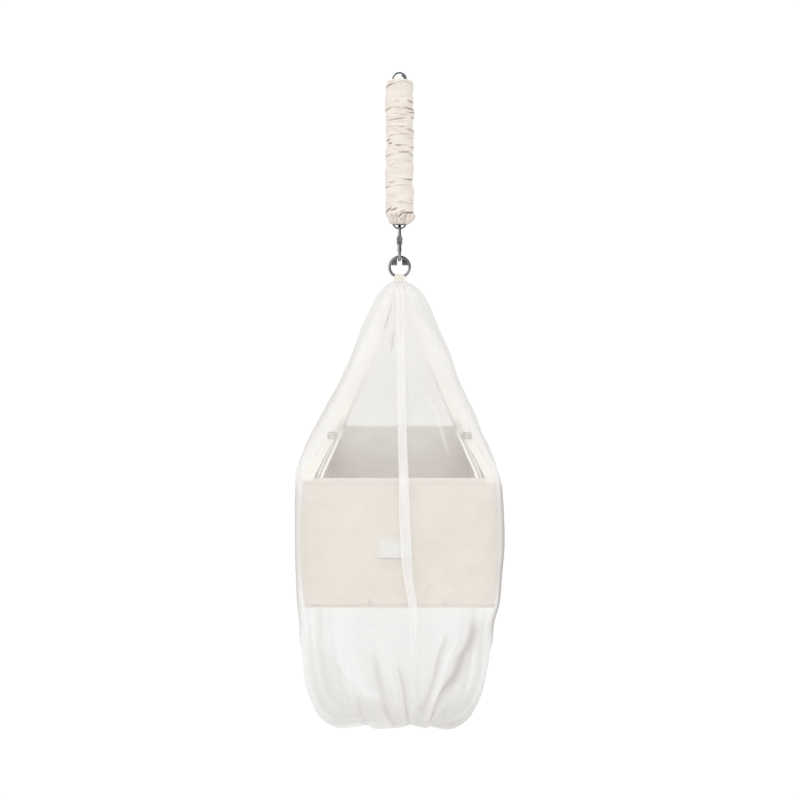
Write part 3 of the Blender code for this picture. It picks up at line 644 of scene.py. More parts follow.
def wear_it(thing, material, body, slot, *nodes):
    """Gives a piece its material and the body it rides on, and hides the CAD parts it stands for. slot is not
    used.
    """
    thing.data.materials.clear()
    thing.data.materials.append(material)
    if nodes:
        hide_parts(*nodes)
    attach(thing, body)
    return thing


# ---------------------------------------------------------------- stage

def by_ray(tree, ray, other, seen):
    """One shader for a kind of ray, and another for the rest."""
    rays = Number(node(tree, "ShaderNodeLightPath"), ray)
    return node(tree, "ShaderNodeMixShader", {0: rays, 1: other, 2: seen})


def make_camera(scene):
    seen = bpy.data.cameras.new("camera")
    seen.sensor_width = 36.0
    seen.lens = FOCAL / PICTURE * seen.sensor_width
    scene.camera = placed("camera", seen)
    scene.camera.location = EYE
    scene.camera.rotation_euler = (math.radians(90 - EYE_TILT), 0, 0)


def make_world(scene):
    world = bpy.data.worlds.new("studio")
    world.use_nodes = True
    scene.world = world
    tree = world.node_tree
    tree.nodes.clear()
    around = Number(node(tree, "ShaderNodeTexCoord"), "Generated")
    way = node(tree, "ShaderNodeSeparateXYZ", {0: around})
    right, up = Number(way), Number(way, 2)
    # What the metal mirrors: a bright wall on the left, a strip light on the right and a dim room
    wall = clamped((-0.12 - right) * 2.6)
    strip = clamped(1.0 - maths("ABSOLUTE", right - 0.62) * 7.0)
    soft = node(tree, "ShaderNodeBackground", {"Color": (0.975, 0.985, 1.0), "Strength": up * 0.22 + AMBIENT})
    room = node(tree, "ShaderNodeBackground", {"Color": WHITE, "Strength": wall * 1.15 + strip * 0.8 + 0.10})
    paper = node(tree, "ShaderNodeBackground", {"Color": WHITE, "Strength": PAPER})
    lit = by_ray(tree, "Is Glossy Ray", soft, room)
    shown(tree, "ShaderNodeOutputWorld", by_ray(tree, "Is Camera Ray", lit, paper))


def make_floor():
    corners = [(x * FLOOR_HALF, y * FLOOR_HALF, 0) for x, y in ((-1, -1), (1, -1), (1, 1), (-1, 1))]
    floor = piece_from("floor", corners, [(0, 1, 2, 3)])
    floor.location.z = FLOOR_LEVEL
    pale = bpy.data.materials.new("pale_floor")
    pale.use_nodes = True
    tree = pale.node_tree
    tree.nodes.clear()
    dull = node(tree, "ShaderNodeBsdfDiffuse", {"Color": (0.72, 0.72, 0.72)})
    paper = node(tree, "ShaderNodeEmission", {"Color": WHITE, "Strength": PAPER})
    shown(tree, "ShaderNodeOutputMaterial", by_ray(tree, "Is Camera Ray", dull, paper))
    floor.data.materials.append(pale)


def make_stage():
    scene = bpy.context.scene
    scene.view_settings.view_transform = "Standard"
    scene.cycles.transparent_max_bounces = 40
    make_camera(scene)
    make_world(scene)
    make_floor()
    for name, place, aim, wide, tall, watts, colour in LIGHTS:
        data = bpy.data.lights.new(name, "AREA")
        data.shape = "RECTANGLE"
        data.size, data.size_y = wide, tall
        data.energy = watts
        data.color = colour
        lamp = placed(name, data)
        lamp.location = place
        lamp.rotation_euler = (Vector(aim) - Vector(place)).to_track_quat("-Z", "Y").to_euler()
        lamp.visible_camera = False
        lamp.visible_glossy = name == "key"


# ---------------------------------------------------------------- hardware

def arc(z, radius, start, end, steps, plane="XZ"):
    """Points round a circle about a centre on the hanging line."""
    turn = np.radians(np.linspace(start, end, steps + 1))
    across, up = radius * np.cos(turn), z + radius * np.sin(turn)
    return together(across, 0.0, up) if plane == "XZ" else together(0.0, across, up)


def make_spring(steel):
    upper = WIRE_R - EYE_R
    share = np.linspace(0, 1, 30, endpoint=False)
    turn = np.radians(60 - 240 * share)
    radius = blend(EYE_INNER_R, EYE_R, ease(share * 1.1))
    tail = together(radius * np.cos(turn), 0.0, upper + radius * np.sin(turn))
    lead = [(COIL_R * 0.97, -0.001, -0.0270), (COIL_R, 0.001, COIL_TOP_Z + 0.006)]
    turn = np.linspace(0, FULL_TURN * COIL_TURNS, COIL_TURNS * 20 + 1)
    fall = np.linspace(COIL_TOP_Z, COIL_BOTTOM_Z, len(turn))
    coil = together(COIL_R * np.cos(turn), COIL_R * np.sin(turn), fall)
    foot = [(COIL_R, 0.001, COIL_BOTTOM_Z - 0.006), (COIL_R * 0.93, 0, COIL_BOTTOM_Z - 0.013)]
    eyes = arc(upper, EYE_R, 180, -20, 40), arc(LOWER_EYE_Z, EYE_R, 20, -200, 44)
    wire = tube("spring_wire", np.concatenate([tail, eyes[0], lead, coil, foot, eyes[1]]), WIRE_R)
    wear_it(wire, steel, ROOT, "spring_steel", "hanging_spring")


def hook_line():
    low = arc(HOOK_BOTTOM_Z + HOOK_HALF, HOOK_HALF, 180, 360, 30, "YZ")
    top = arc(HOOK_TOP_Z - HOOK_HALF, HOOK_HALF, 0, 180, 30, "YZ")
    rise = np.linspace(low[-1], top[0], 14)[1:-1]
    fall = np.linspace(top[-1], (0, -HOOK_HALF, NOSE_Z), 8)[1:]
    return np.concatenate([low, rise, top, fall])


def hook_block(name, half_x, half_y, low_z, high_z, round_r, x=0.0, segments=3):
    """A block with rounded edges on the line of the hook's gate."""
    shape = bmesh.new()
    bmesh.ops.create_cube(shape, size=1.0)
    low = (x - half_x, -HOOK_HALF - half_y, low_z)
    high = (x + half_x, -HOOK_HALF + half_y, high_z)
    for v in shape.verts:
        v.co = Vector(low[n] + (v.co[n] + 0.5) * (high[n] - low[n]) for n in range(3))
    return piece_from_shape(name, shape, list(shape.edges), round_r, segments)


def hook_pin(name, half, z, radius, sides):
    return tube(name, [(-half, -HOOK_HALF, z), (half, -HOOK_HALF, z)], radius, sides)


def make_hook(steel, dark):
    collar = [(0, -HOOK_HALF, NOSE_Z + 0.0006), (0, -HOOK_HALF, NOSE_Z + 0.0022)]
    snap_frame = joined("snap_frame", [
        tube("snap_frame", hook_line(), HOOK_R, 24),
        hook_block("nose", 0.0020, 0.0030, NOSE_Z - 0.0085, NOSE_Z + 0.002, 0.0009),
        hook_block("tongue", 0.0020, 0.0030, HINGE_END_Z - 0.002, HINGE_Z + 0.0034, 0.0009),
        tube("collar", collar, 0.00385, 24, domed=False),
        hook_pin("pin", 0.0040, HINGE_Z, 0.0012, 14),
    ])
    wear_it(snap_frame, steel, ROOT, "steel", "carabiner_frame")
    # The gate: a knurled barrel, and a fork with its web and rivet
    sides, bevel = 48, 0.0009
    turn = np.linspace(0, FULL_TURN, sides, endpoint=False)
    levels = edged(HINGE_Z - 0.0035, FORK_LOW_Z + 0.002, 22, bevel)
    ends = np.minimum(levels - levels[0], levels[-1] - levels)[:, None]
    radius = BARREL_R - bevel * (1 - rounded(ends / bevel))
    ring = radius + 0.00018 * np.sign(np.sin(24 * turn)) * (ends > 0.004)
    verts = together(ring * np.cos(turn), ring * np.sin(turn) - HOOK_HALF, levels[:, None])
    gate = joined("snap_gate", [
        piece_from("snap_gate", verts, grid_faces(len(levels), sides, wrap=True, capped=True)),
        hook_block("cheek", 0.0019, 0.0038, FORK_LOW_Z, NOSE_Z - 0.0004, 0.0014, -0.0043, 4),
        hook_block("cheek", 0.0019, 0.0038, FORK_LOW_Z, NOSE_Z - 0.0004, 0.0014, 0.0043, 4),
        hook_block("web", 0.0050, 0.0036, FORK_LOW_Z + 0.0004, NOSE_Z - 0.0102, 0.0011),
        hook_pin("rivet", 0.0063, NOSE_Z - 0.0060, 0.0011, 12),
    ])
    wear_it(gate, dark, GATE, "steel", "carabiner_gate")


def make_lug(side):
    """A flat lug inside the top of the ring, which follows the ring's curve."""
    xs = np.linspace(*sorted((side * 0.0052, side * 0.0190)), 12)
    tops = RING_Z + np.sqrt(RING_R**2 - xs**2)
    shape = bmesh.new()
    verts = []
    for y in (-0.8 * RING_WIRE_R, 0.8 * RING_WIRE_R):
        verts += [shape.verts.new((x, y, RING_Z + 0.0034)) for x in xs]
        verts += [shape.verts.new((x, y, z)) for x, z in zip(xs[::-1], tops[::-1])]
    half = len(verts) // 2
    shape.faces.new(verts[:half])
    shape.faces.new(verts[:half - 1:-1])
    for n in range(half):
        m = (n + 1) % half
        shape.faces.new((verts[n], verts[half + n], verts[half + m], verts[m]))
    bmesh.ops.recalc_face_normals(shape, faces=shape.faces)
    sharp = [edge for edge in shape.edges if edge.calc_face_angle(0) > 0.7]
    return piece_from_shape("lug", shape, sharp, 0.0007, 3)


def make_ring(steel):
    body = tube("ring_steel", arc(RING_Z, RING_R, 0, 360 - 360 / 96, 95), RING_WIRE_R, 24, closed=True)
    wear_it(joined("ring_steel", [body, make_lug(-1), make_lug(1)]), steel, ROOT, "steel", "hanging_ring")


# ---------------------------------------------------------------- sleeve

def sleeve_creases():
    """The angle and z of both ends of each crease, its depth and its half width. 0 faces the front."""
    creases = []
    for x1, z1, x2, z2, depth, wide in SLEEVE_CREASES:
        a1, a2 = (
            math.asin(np.clip(x / 33.0, -1, 1)) + (math.copysign(0.55, x) if abs(x) > 27.5 else 0.0)
            for x in (x1, x2)
        )
        creases.append((a1, z1 / 1000, a2, z2 / 1000, depth / 1000, wide / 1000))
    pick = np.random.default_rng(5)

    def level_one(middle, level, reach, tilt, depth, wide):
        creases.append((middle - reach, level - tilt, middle + reach, level + tilt, depth, wide))

    # Round the back, which the photograph doesn't show
    level = -0.030
    while level > -0.296:
        middle, reach = pick.uniform(1.9, FULL_TURN - 1.9), pick.uniform(0.25, 0.75)
        tilt, depth = pick.uniform(-0.004, 0.004), pick.uniform(0.0007, 0.0019)
        level_one(middle, level, reach, tilt, depth, pick.uniform(0.0011, 0.0016))
        level -= pick.uniform(0.0024, 0.0052)
    # Faint ones across the front, most of them high up
    for n in range(52):
        middle = pick.uniform(-1.35, 1.35)
        level = pick.uniform(*((-0.190, -0.052) if n < 40 else (-0.290, -0.190)))
        reach, tilt = pick.uniform(0.18, 0.58), pick.uniform(-0.0018, 0.0018)
        level_one(middle, level, reach, tilt, pick.uniform(0.0004, 0.0009), 0.0010)
    # Upright ones round the back of its gathered foot
    for _ in range(26):
        middle, top = pick.uniform(1.4, FULL_TURN - 1.4), pick.uniform(-0.306, -0.298)
        lean, drop = pick.uniform(-0.3, 0.3), pick.uniform(0.008, 0.016)
        creases.append((middle, top, middle + lean, top - drop, 0.0012, 0.0013))
    return creases


def make_sleeve(cotton):
    """The ruched tube: puffs between uneven creases, those of the front as the photograph has them."""
    high, low = SLEEVE_EVEN_Z
    tips = np.linspace(SLEEVE_TOP_Z, high, 8)[:-1], np.linspace(low, SLEEVE_LOW_Z, 9)[1:]
    z0 = np.concatenate([tips[0], np.linspace(high, low, 365), tips[1]])
    radius = through(-SLEEVE_ROWS[:, 0], SLEEVE_ROWS[:, 1], -z0)[:, 0]
    s, z = np.meshgrid(np.linspace(0, FULL_TURN, SLEEVE_COLUMNS, endpoint=False), z0)
    ends = over(z, SLEEVE_LOW_Z, 0.004) * under(z, SLEEVE_TOP_Z, 0.0012)
    out = 0.0013 * np.sin(2 * s + z * 60 + 1.1) * np.sin(z * 95) + 0.0010 * np.sin(3 * s - z * 110)
    out = out + 0.0008 * np.sin(2 * s - z * 230 + 0.5) * np.sin(z * 41 + s)
    # dark is painted shade along the creases and in the gathers, which the material mixes in
    dark = np.zeros_like(z)
    mean_r = 0.0300
    for a1, z1, a2, z2, depth, wide in sleeve_creases():
        x = ((s - a1 + math.pi) % FULL_TURN - math.pi) * mean_r
        share, away, up = off_segment(x, z - z1, (a2 - a1) * mean_r, z2 - z1)
        taper = np.sin(math.pi * (0.12 + 0.76 * share)) ** 0.8
        puff = bell(away / wide - 2.3, 1.1) * (0.42 + 0.10 * np.tanh(up / wide))
        out = out + 1.25 * depth * taper * (puff - bell(away, wide))
        strong = np.clip((depth - 0.0005) / 0.0018, 0.22, 1.0) * (1.4 if z1 < -0.290 else 0.95)
        dark = np.maximum(dark, strong * taper * bell(away, 0.85 * wide))
    # Its hem at the top, and the gathers under the hem and at its foot, with painted shade in the gathers
    header, foot = over(z, SLEEVE_HEADER_Z, 0.012), under(z, SLEEVE_GATHER_Z, 0.010)
    fine_wave, foot_wave = np.sin(19 * s + 4 * np.sin(2 * s)), np.sin(13 * s + 2.2 * np.sin(4 * s + 2))
    out = out + 0.0005 * bell(z + 0.0165, 0.0016) * np.sin(17 * s + 3 * np.sin(3 * s))
    out = out + 0.0003 * header * fine_wave
    out = out + foot * (0.0012 * foot_wave + 0.0006 * np.sin(23 * s + z * 300))
    out = out + 0.00012 * waves(3, s * 0.03, z * 2.2, 0.010, 14)
    dark = np.maximum(dark, 0.40 * foot * under(foot_wave, -0.45, 0.5))
    dark = np.maximum(dark, 0.05 * header * under(fine_wave, -0.5, 0.5))
    tip = bell(s - 1.25, 0.30) * under(z, -0.2985, 0.006) * over(z, -0.3185, 0.006)
    r = radius[:, None] + out * ends + 0.0058 * tip
    sway = 0.0006 * np.sin(z * 40 + 1)
    dip = -0.0012 * np.cos(s - 0.6) * over(z, SLEEVE_HEADER_Z, 0.010) * under(z, high, 0.01)
    verts = together(sway + r * np.sin(s), -r * np.cos(s), z + dip)
    uv = together(s * 0.03, lengths(together(z0, radius))[:, None])
    sleeve = mark(piece_from("sleeve_cloth", verts, grid_faces(*z.shape, wrap=True), uv), dark)
    solid = sleeve.modifiers.new("thickness", "SOLIDIFY")
    solid.thickness = 0.0007
    solid.offset = -1.0
    return wear_it(sleeve, cotton, ROOT, "sleeve_cotton", "spring_sleeve")


# ---------------------------------------------------------------- webbing

def make_tab(web):
    """The webbing folded round the bottom of the ring, which flattens towards its lower edge."""
    middle = RING_Z - RING_R
    radius = RING_WIRE_R + 0.0008 + TAB_THICK / 2
    side = np.array([(0.0100, TAB_LOW_Z), (0.0090, -0.4580), (0.0082, -0.4540), (0.0064, -0.4475)])
    bend = arc(middle, radius, 190, -10, 18, "YZ")[:, 1:]
    profile = line_through(np.concatenate([side * (-1, 1), bend, side[::-1]]), 70)
    y, down = profile[:, :1], middle - profile[:, 1:]
    half = blend(0.021, 0.031, ease((down + radius) / (middle + radius - TAB_LOW_Z))) / 2
    flatness = ease(down / 0.008)
    w = edged(-1.0, 1.0, 15, 0.10)[None, :]
    turn = np.arcsin(w * half / RING_R)
    reach = RING_R + down
    u = w * half
    x = blend(reach * np.sin(turn), u, flatness)
    z = blend(RING_Z - reach * np.cos(turn), middle - down, flatness)
    v = lengths(profile)[:, None]
    edge = 0.0125
    thick = rounded_half(w * edge + 0 * v, (-edge, edge), v, (0, v[-1]), TAB_THICK / 2, TAB_THICK / 2)
    tab = thick_cloth("tab_web", together(x, y, z), thick, u, v)
    return wear_it(tab, web, ROOT, "webbing", "strap_tab")


def strap_share(z):
    return (STRAP_FAN_Z - z) / (STRAP_FAN_Z - RIM_Z)


def strap_x(z):
    return blend(0.0012, 0.1615, strap_share(z))


def strap_start(side, end):
    """Where a strap begins in y: two of the four lie over the other two."""
    return 0.0045 if side * end > 0 else 0.0017


def strap_y(z, start):
    return blend(start, CRADLE_HALF_Y - CANVAS - 0.0025, strap_share(z))


def make_strap(corner, side, end, web):
    start = strap_start(side, end)
    marks = [(0.0012, start, STRAP_TOP_Z, STRAP_TOP_WIDTH)]
    for z in np.linspace(STRAP_FAN_Z, RIM_Z + 0.004, 12):
        width = blend(STRAP_TOP_WIDTH, STRAP_WIDTH, ease(3 * strap_share(z)))
        marks.append((strap_x(z), strap_y(z, start), z, width))
    foot = CRADLE_HALF_Y - CANVAS - 0.0006 - STRAP_THICK / 2
    marks += [(strap_x(RIM_Z), foot, RIM_Z - drop, STRAP_WIDTH) for drop in (0.004, 0.012, 0.028, STRAP_FOOT)]
    line = line_through(marks, 90)

    def wear_and_painted_shade(a, z):
        """Painted shade on the near straps: two dark lines along them from the slider down, a dark line by
        their inner edge higher up, and the painted shadow of the slider.
        """
        inner = side * a  # -1 at the edge that is nearer the middle of the cradle
        painted_shadow_lines = 0.85 * bell(inner + 0.12, 0.13) + 0.70 * bell(inner + 0.56, 0.13)
        painted_edge_shade = over(z, -0.756, 0.02) * under(z, -0.60, 0.06) * 0.55 * bell(inner + 0.84, 0.12)
        shade = 0.35 * bell(z + 0.738, 0.010) * under(inner, 0.2, 0.3)
        return under(z, -0.742, 0.016) * painted_shadow_lines + painted_edge_shade + shade

    centres = line[:, :3] * (side, end, 1)
    shade = wear_and_painted_shade if end < 0 else None
    strap = ribbon(f"strap_web_{corner}", centres, line[:, 3], STRAP_THICK, 33, 0.25, shade=shade)
    return wear_it(strap, web, ROOT, "webbing", f"strap_{corner}")


def corner_tab_marks(side, end):
    """x, y, z and width along a corner tab, from its low end outside the rim up to its slider, unmirrored."""
    lift = 1.41 * (CORNER_TAB_THICK / 2 + STRAP_THICK / 2 + 0.0005)
    start = strap_start(side, end)
    low = 0.0115 if side > 0 else 0.0060
    outside = CRADLE_HALF_Y + 0.0005 + CORNER_TAB_THICK / 2
    marks = [
        (0.1730, outside + 0.0001, RIM_Z - low, 0.017),
        (0.1730, outside + 0.0001, RIM_Z - low * 0.5, 0.021),
        (0.1725, outside, RIM_Z + 0.0018, 0.021),
    ]
    for z, x, width in ((-0.8130, 0.1670, 0.0205), (-0.7900, 0.1530, 0.0170), (-0.7560, 0.1320, 0.0120)):
        marks.append((x, strap_y(z, start) + lift, z, width))
    return np.array(marks)


def make_corner_tab(corner, side, end, web):
    line = line_through(corner_tab_marks(side, end), 64)
    wide = np.maximum(line[:, 3] * rounded((line[:, 2] - line[0, 2]) / 0.0085), 0.003)
    centres = line[:, :3] * (side, end, 1)
    tab = ribbon(f"corner_web_{corner}", centres, wide, CORNER_TAB_THICK, 15, 0.2)
    return wear_it(tab, web, ROOT, "webbing", f"corner_tab_{corner}")


def make_slider(corner, side, end, steel):
    """A wire frame with a bar across its middle, lying on the top of a corner tab."""
    name = f"slider_frame_{corner}"
    bar = 0.0010
    slope = math.sqrt(0.5)
    lift = (CORNER_TAB_THICK / 2 + bar + 0.0005) * slope
    middle = (corner_tab_marks(side, end)[-1, :3] + (0, lift, lift)) * (side, end, 1)
    across, up = np.array((1.0, 0, 0)), np.array((0, -end * slope, slope))
    wide, tall, bend = 0.0085, 0.0065, 0.0022
    loop = []
    for cx, cy, start in ((1, 1, 0), (-1, 1, 90), (-1, -1, 180), (1, -1, 270)):
        for turn in np.radians(start + 15 * np.arange(7)):
            out = cx * (wide - bend) + bend * math.cos(turn)
            loop.append(middle + across * out + up * (cy * (tall - bend) + bend * math.sin(turn)))
    wire = tube(name, loop, bar, closed=True)
    centre_bar = tube("bar", [middle - across * wide, middle, middle + across * wide], bar * 0.85, 10)
    wear_it(joined(name, [wire, centre_bar]), steel, ROOT, "slider_steel", f"slider_{corner}")


# ---------------------------------------------------------------- cradle

def share_up(z):
    """-1 at the floor and 1 at the rim."""
    return (2 * z - RIM_Z - FLOOR_Z) / (RIM_Z - FLOOR_Z)


def corner_x(z):
    return CRADLE_HALF_X + CORNER_BOW * (1 - share_up(z) ** 2)


def wall_swell(along, up):
    return (1 - along**2) * (1 - up**2)


def wall_half(along, reach, z):
    """Half the thickness of a cradle wall: more in its rolled top edge, less in the seam under that."""
    down, hem = RIM_Z - z, 0.011
    hem_map = 1 + 0.55 * under(down, hem, 0.0022) - 0.45 * bell(down - hem + 0.0012, 0.0011)
    return hem_map * rounded_half(along, (-reach, reach), z, (FLOOR_Z, RIM_Z), WALL_HALF, WALL_ROUND)


def wrinkled(seed, a, b, up):
    """Soft dents of a cloth wall: broad ones, some slanting, and small puckers along the bottom seam."""
    broad = 0.0014 * waves(seed, a, b, 0.11) + 0.0013 * waves(seed + 1, a, b * 1.6, 0.045)
    slant = 0.0016 * waves(seed + 2, a + 0.7 * b, (b - 0.7 * a) * 0.25, 0.040, 8)
    pucker = under(up, -0.80, 0.20) * 0.0008 * waves(seed + 3, a, b * 0.25, 0.016)
    dent = broad + slant + pucker - 0.0026
    return np.minimum(dent, 0.15 * dent)


def end_skin_y(x, z, seed):
    """The end panel's middle surface. Its dents fade out at its edges and over the feet of the straps."""
    s, up = x / corner_x(z), share_up(z)
    inward = under(np.abs(s), 1, 0.06) * under(np.abs(up), 1, 0.07)
    foot = over(np.abs(x), 0.128, 0.012) * over(z, RIM_Z - STRAP_FOOT - 0.012, 0.010)
    flat = CRADLE_HALF_Y - CANVAS / 2 + END_BULGE * wall_swell(s, up)
    return flat + wrinkled(seed, x, z, up) * inward * (1 - foot)


def make_end_panel(end_name, end, canvas, seed):
    z = edged(FLOOR_Z, RIM_Z, 76, WALL_ROUND)[:, None]
    x = edged(-1.0, 1.0, 118, 0.009)[None, :] * corner_x(z)
    y = end_skin_y(x, z, seed)
    # Painted shade: a line along the seam under the rolled top edge, a painted shadow along the bottom edge
    # and, on the near panel, along its creases
    painted_panel_shade = 0.28 * bell(RIM_Z - z - 0.0108, 0.0009) + 0.36 * under(share_up(z), -0.982, 0.010) + 0 * x
    for x1, z1, x2, z2, dark in np.array(PANEL_CREASES) * (0.001, 0.001, 0.001, 0.001, 1) if end < 0 else ():
        painted_panel_shade = painted_panel_shade + dark * bell(off_segment(x - x1, z - z1, x2 - x1, z2 - z1)[1], 0.0016)
    half = wall_half(x, corner_x(z), z)
    grid = together(x, end * y, z)
    panel = thick_cloth(f"end_cloth_{end_name}", grid, half, x, z, flip=end > 0, shade=painted_panel_shade)
    return wear_it(panel, canvas, ROOT, "cradle_canvas", f"end_panel_{end_name}")


def make_side_panel(side_name, side, canvas, seed):
    z = edged(FLOOR_Z, RIM_Z, 66, WALL_ROUND)[:, None]
    s = edged(-1.0, 1.0, 190, 0.0045)[None, :]
    y, up = s * SIDE_REACH + 0 * z, share_up(z)
    inward = under(np.abs(s), 1, 0.03) * under(np.abs(up), 1, 0.06)
    out = SIDE_BULGE * wall_swell(s, up) + (wrinkled(seed, y, z, up) * 1.3 - 0.0006) * inward
    grid = together(side * (corner_x(z) - CANVAS / 2 + out), y, z)
    panel = thick_cloth(f"side_cloth_{side_name}", grid, wall_half(y, SIDE_REACH, z), y, z, flip=side < 0)
    return wear_it(panel, canvas, ROOT, "cradle_canvas", f"side_panel_{side_name}")


def make_floor_panel(canvas):
    s = edged(-1.0, 1.0, 90, 0.009)[None, :]
    t = edged(-1.0, 1.0, 150, 0.0045)[:, None]
    x, y = np.broadcast_arrays(s * CRADLE_HALF_X, t * CRADLE_HALF_Y)
    calm = under(np.abs(s), 1, 0.08) * under(np.abs(t), 1, 0.05)
    flat = FLOOR_Z - 2 * PANEL_GAP - CANVAS / 2
    z = flat - FLOOR_SAG * wall_swell(s, t) + 0.0012 * waves(71, x, y, 0.09) * calm
    ends = (-CRADLE_HALF_X, CRADLE_HALF_X), (-CRADLE_HALF_Y, CRADLE_HALF_Y)
    half = rounded_half(x, ends[0], y, ends[1], 0.0014, 0.0016)
    panel = thick_cloth("floor_cloth", together(x, y, z), half, x, y)
    return wear_it(panel, canvas, ROOT, "cradle_canvas", "floor_panel")


def make_seams(canvas):
    """The folded seam allowance that shows along the cradle's outer edges."""
    made = []
    y, radius = CRADLE_HALF_Y - 0.0011, 0.0014

    def low_z(seed, along):
        return FLOOR_Z - 0.0004 + 0.0007 * waves(seed, along, 0, 0.04, 6)

    for end in (-1, 1):
        for side in (-1, 1):
            z = np.linspace(FLOOR_Z + 0.001, RIM_Z - 0.001, 60)
            x = side * (corner_x(z) - 0.0008) + 0.0003 * np.sin(z * 160 + side)
            made.append(tube("seam", together(x, end * y, z), 0.0012, 10))
        xs = np.linspace(-CRADLE_HALF_X + 0.001, CRADLE_HALF_X - 0.001, 90)
        made.append(tube("seam", together(xs, end * y, low_z(31 + end, xs)), radius, 10))
    for side in (-1, 1):
        ys = np.linspace(-CRADLE_HALF_Y + 0.003, CRADLE_HALF_Y - 0.003, 150)
        x = side * (CRADLE_HALF_X - 0.0009)
        made.append(tube("seam", together(x, ys, low_z(41 + side, ys)), radius, 10))
    wear_it(joined("cradle_seams", made), canvas, ROOT, "cradle_canvas")


def make_hem_stitches(thread):
    rows = []
    z, skin = RIM_Z - 0.0098, CANVAS / 2 - STITCH_SINK
    for end, seed in ((-1, NEAR_SEED), (1, FAR_SEED)):
        xs = np.linspace(-0.180, 0.180, 60)
        y = end_skin_y(xs, z, seed) + skin
        rows.append(stitches("thread", together(xs, end * y, z), (0, end, 0)))
    for side in (-1, 1):
        ys = np.linspace(-0.362, 0.362, 90)
        x = corner_x(z) - STITCH_SINK + SIDE_BULGE * wall_swell(ys / SIDE_REACH, share_up(z))
        rows.append(stitches("thread", together(side * x, ys, z), (side, 0, 0)))
    wear_it(joined("hem_stitches", rows), thread, ROOT, "cradle_canvas")


def make_label(patch, thread):
    """The bare patch on the near end panel, and its stitches."""
    x = edged(*LABEL_X, 40, LABEL_ROUND)[None, :]
    z = edged(*LABEL_Z, 28, LABEL_ROUND)[:, None]
    curl = 0.0012 * under(z, LABEL_Z[0] + 0.010, 0.010)
    y = end_skin_y(x, z, NEAR_SEED) + CANVAS / 2 + LABEL_GAP + curl
    edge = np.minimum(np.minimum(x - LABEL_X[0], LABEL_X[1] - x), np.minimum(z - LABEL_Z[0], LABEL_Z[1] - z))
    half = rounded_half(x, LABEL_X, z, LABEL_Z, 0.0005, LABEL_ROUND) * (1 + 0.5 * under(edge, 0.0042, 0.0008))
    # Painted shade along the patch's curled-up lower edge
    fold = 0.7 * under(z, LABEL_Z[0] + 0.0022, 0.0016) + 0 * x
    label = thick_cloth("label_cloth", together(x, -y, z), half, x, z, shade=fold)
    wear_it(label, patch, ROOT, "patch", "label_patch")
    inset = 0.0026
    left, right, low, high = LABEL_X[0] + inset, LABEL_X[1] - inset, LABEL_Z[0] + inset, LABEL_Z[1] - inset
    corners = np.array([(left, low), (right, low), (right, high), (left, high), (left, low)])
    path = np.concatenate([blend(a, b, np.arange(12)[:, None] / 12) for a, b in zip(corners, corners[1:])])
    y = end_skin_y(path[:, 0], path[:, 1], NEAR_SEED) + CANVAS / 2 + 0.0019
    path = together(path[:, 0], -y, path[:, 1])
    row = stitches("label_stitches", path, (0, -1, 0), long=0.0018, gap=0.0009, radius=0.00022)
    wear_it(row, thread, ROOT, "patch")
    return label


# ---------------------------------------------------------------- net

def boxed(values):
    """Points round one section of the net from its front line: an oblong with round corners, full sides."""
    _, half_x, half_y, radius, _, swell, mid_x, _, line_x, _ = values
    fronts, corners, sides, backs = NET_COUNTS
    flat_x, flat_y, line = half_x - radius, half_y - radius, line_x - mid_x
    bits = [together(blend(line, flat_x, np.arange(fronts) / fronts), -half_y)]
    for cx, cy, start, first, last, count, puff in (
        # middle and first angle of a corner, both ends of the straight after it, its points and its swell
        (flat_x, -flat_y, -90, (half_x, -flat_y), (half_x, flat_y), sides, 1),
        (flat_x, flat_y, 0, (flat_x, half_y), (-flat_x, half_y), backs, 0),
        (-flat_x, flat_y, 90, (-half_x, flat_y), (-half_x, -flat_y), sides, -1),
        (-flat_x, -flat_y, 180, (-flat_x, -half_y), (line, -half_y), fronts, 0),
    ):
        a = np.radians(start + 90 * np.arange(corners) / corners)
        bits.append(together(cx + radius * np.cos(a), cy + radius * np.sin(a)))
        t = np.arange(count) / count
        x, y = blend(first[0], last[0], t), blend(first[1], last[1], t)
        bits.append(together(x + puff * swell * (1 - (y / flat_y) ** 2), y))
    return np.concatenate(bits)


def net_sections(rows, share):
    """Each section of the net, the boxed one blended to an oval, and the way out at each of its points."""
    turn = FULL_TURN * share
    flats, outs = [], []
    for values in rows:
        half = values[1:3]
        oval = half * together(np.sin(turn), -np.cos(turn))
        flat = blend(boxed(values), oval, values[4])
        flats.append(flat + values[6:8])
        outs.append(unit(flat / half**2))
    return np.array(flats), np.array(outs)


def net_shares():
    """How far round the net each of its columns is, from the front line, where 1 is all the way."""
    loop = boxed(NET_ROWS[RIM_ROW])
    far = lengths(np.concatenate([loop, loop[:1]]))
    return far[:-1] / far[-1]


def net_levels():
    """Rows of the net from its neck to its gather, evenly spaced along the cloth."""
    far = lengths(NET_ROWS[:, :3] * (1, 0.8, 0.8))
    return through(far, NET_ROWS, np.linspace(0, far[-1], NET_LEVELS))


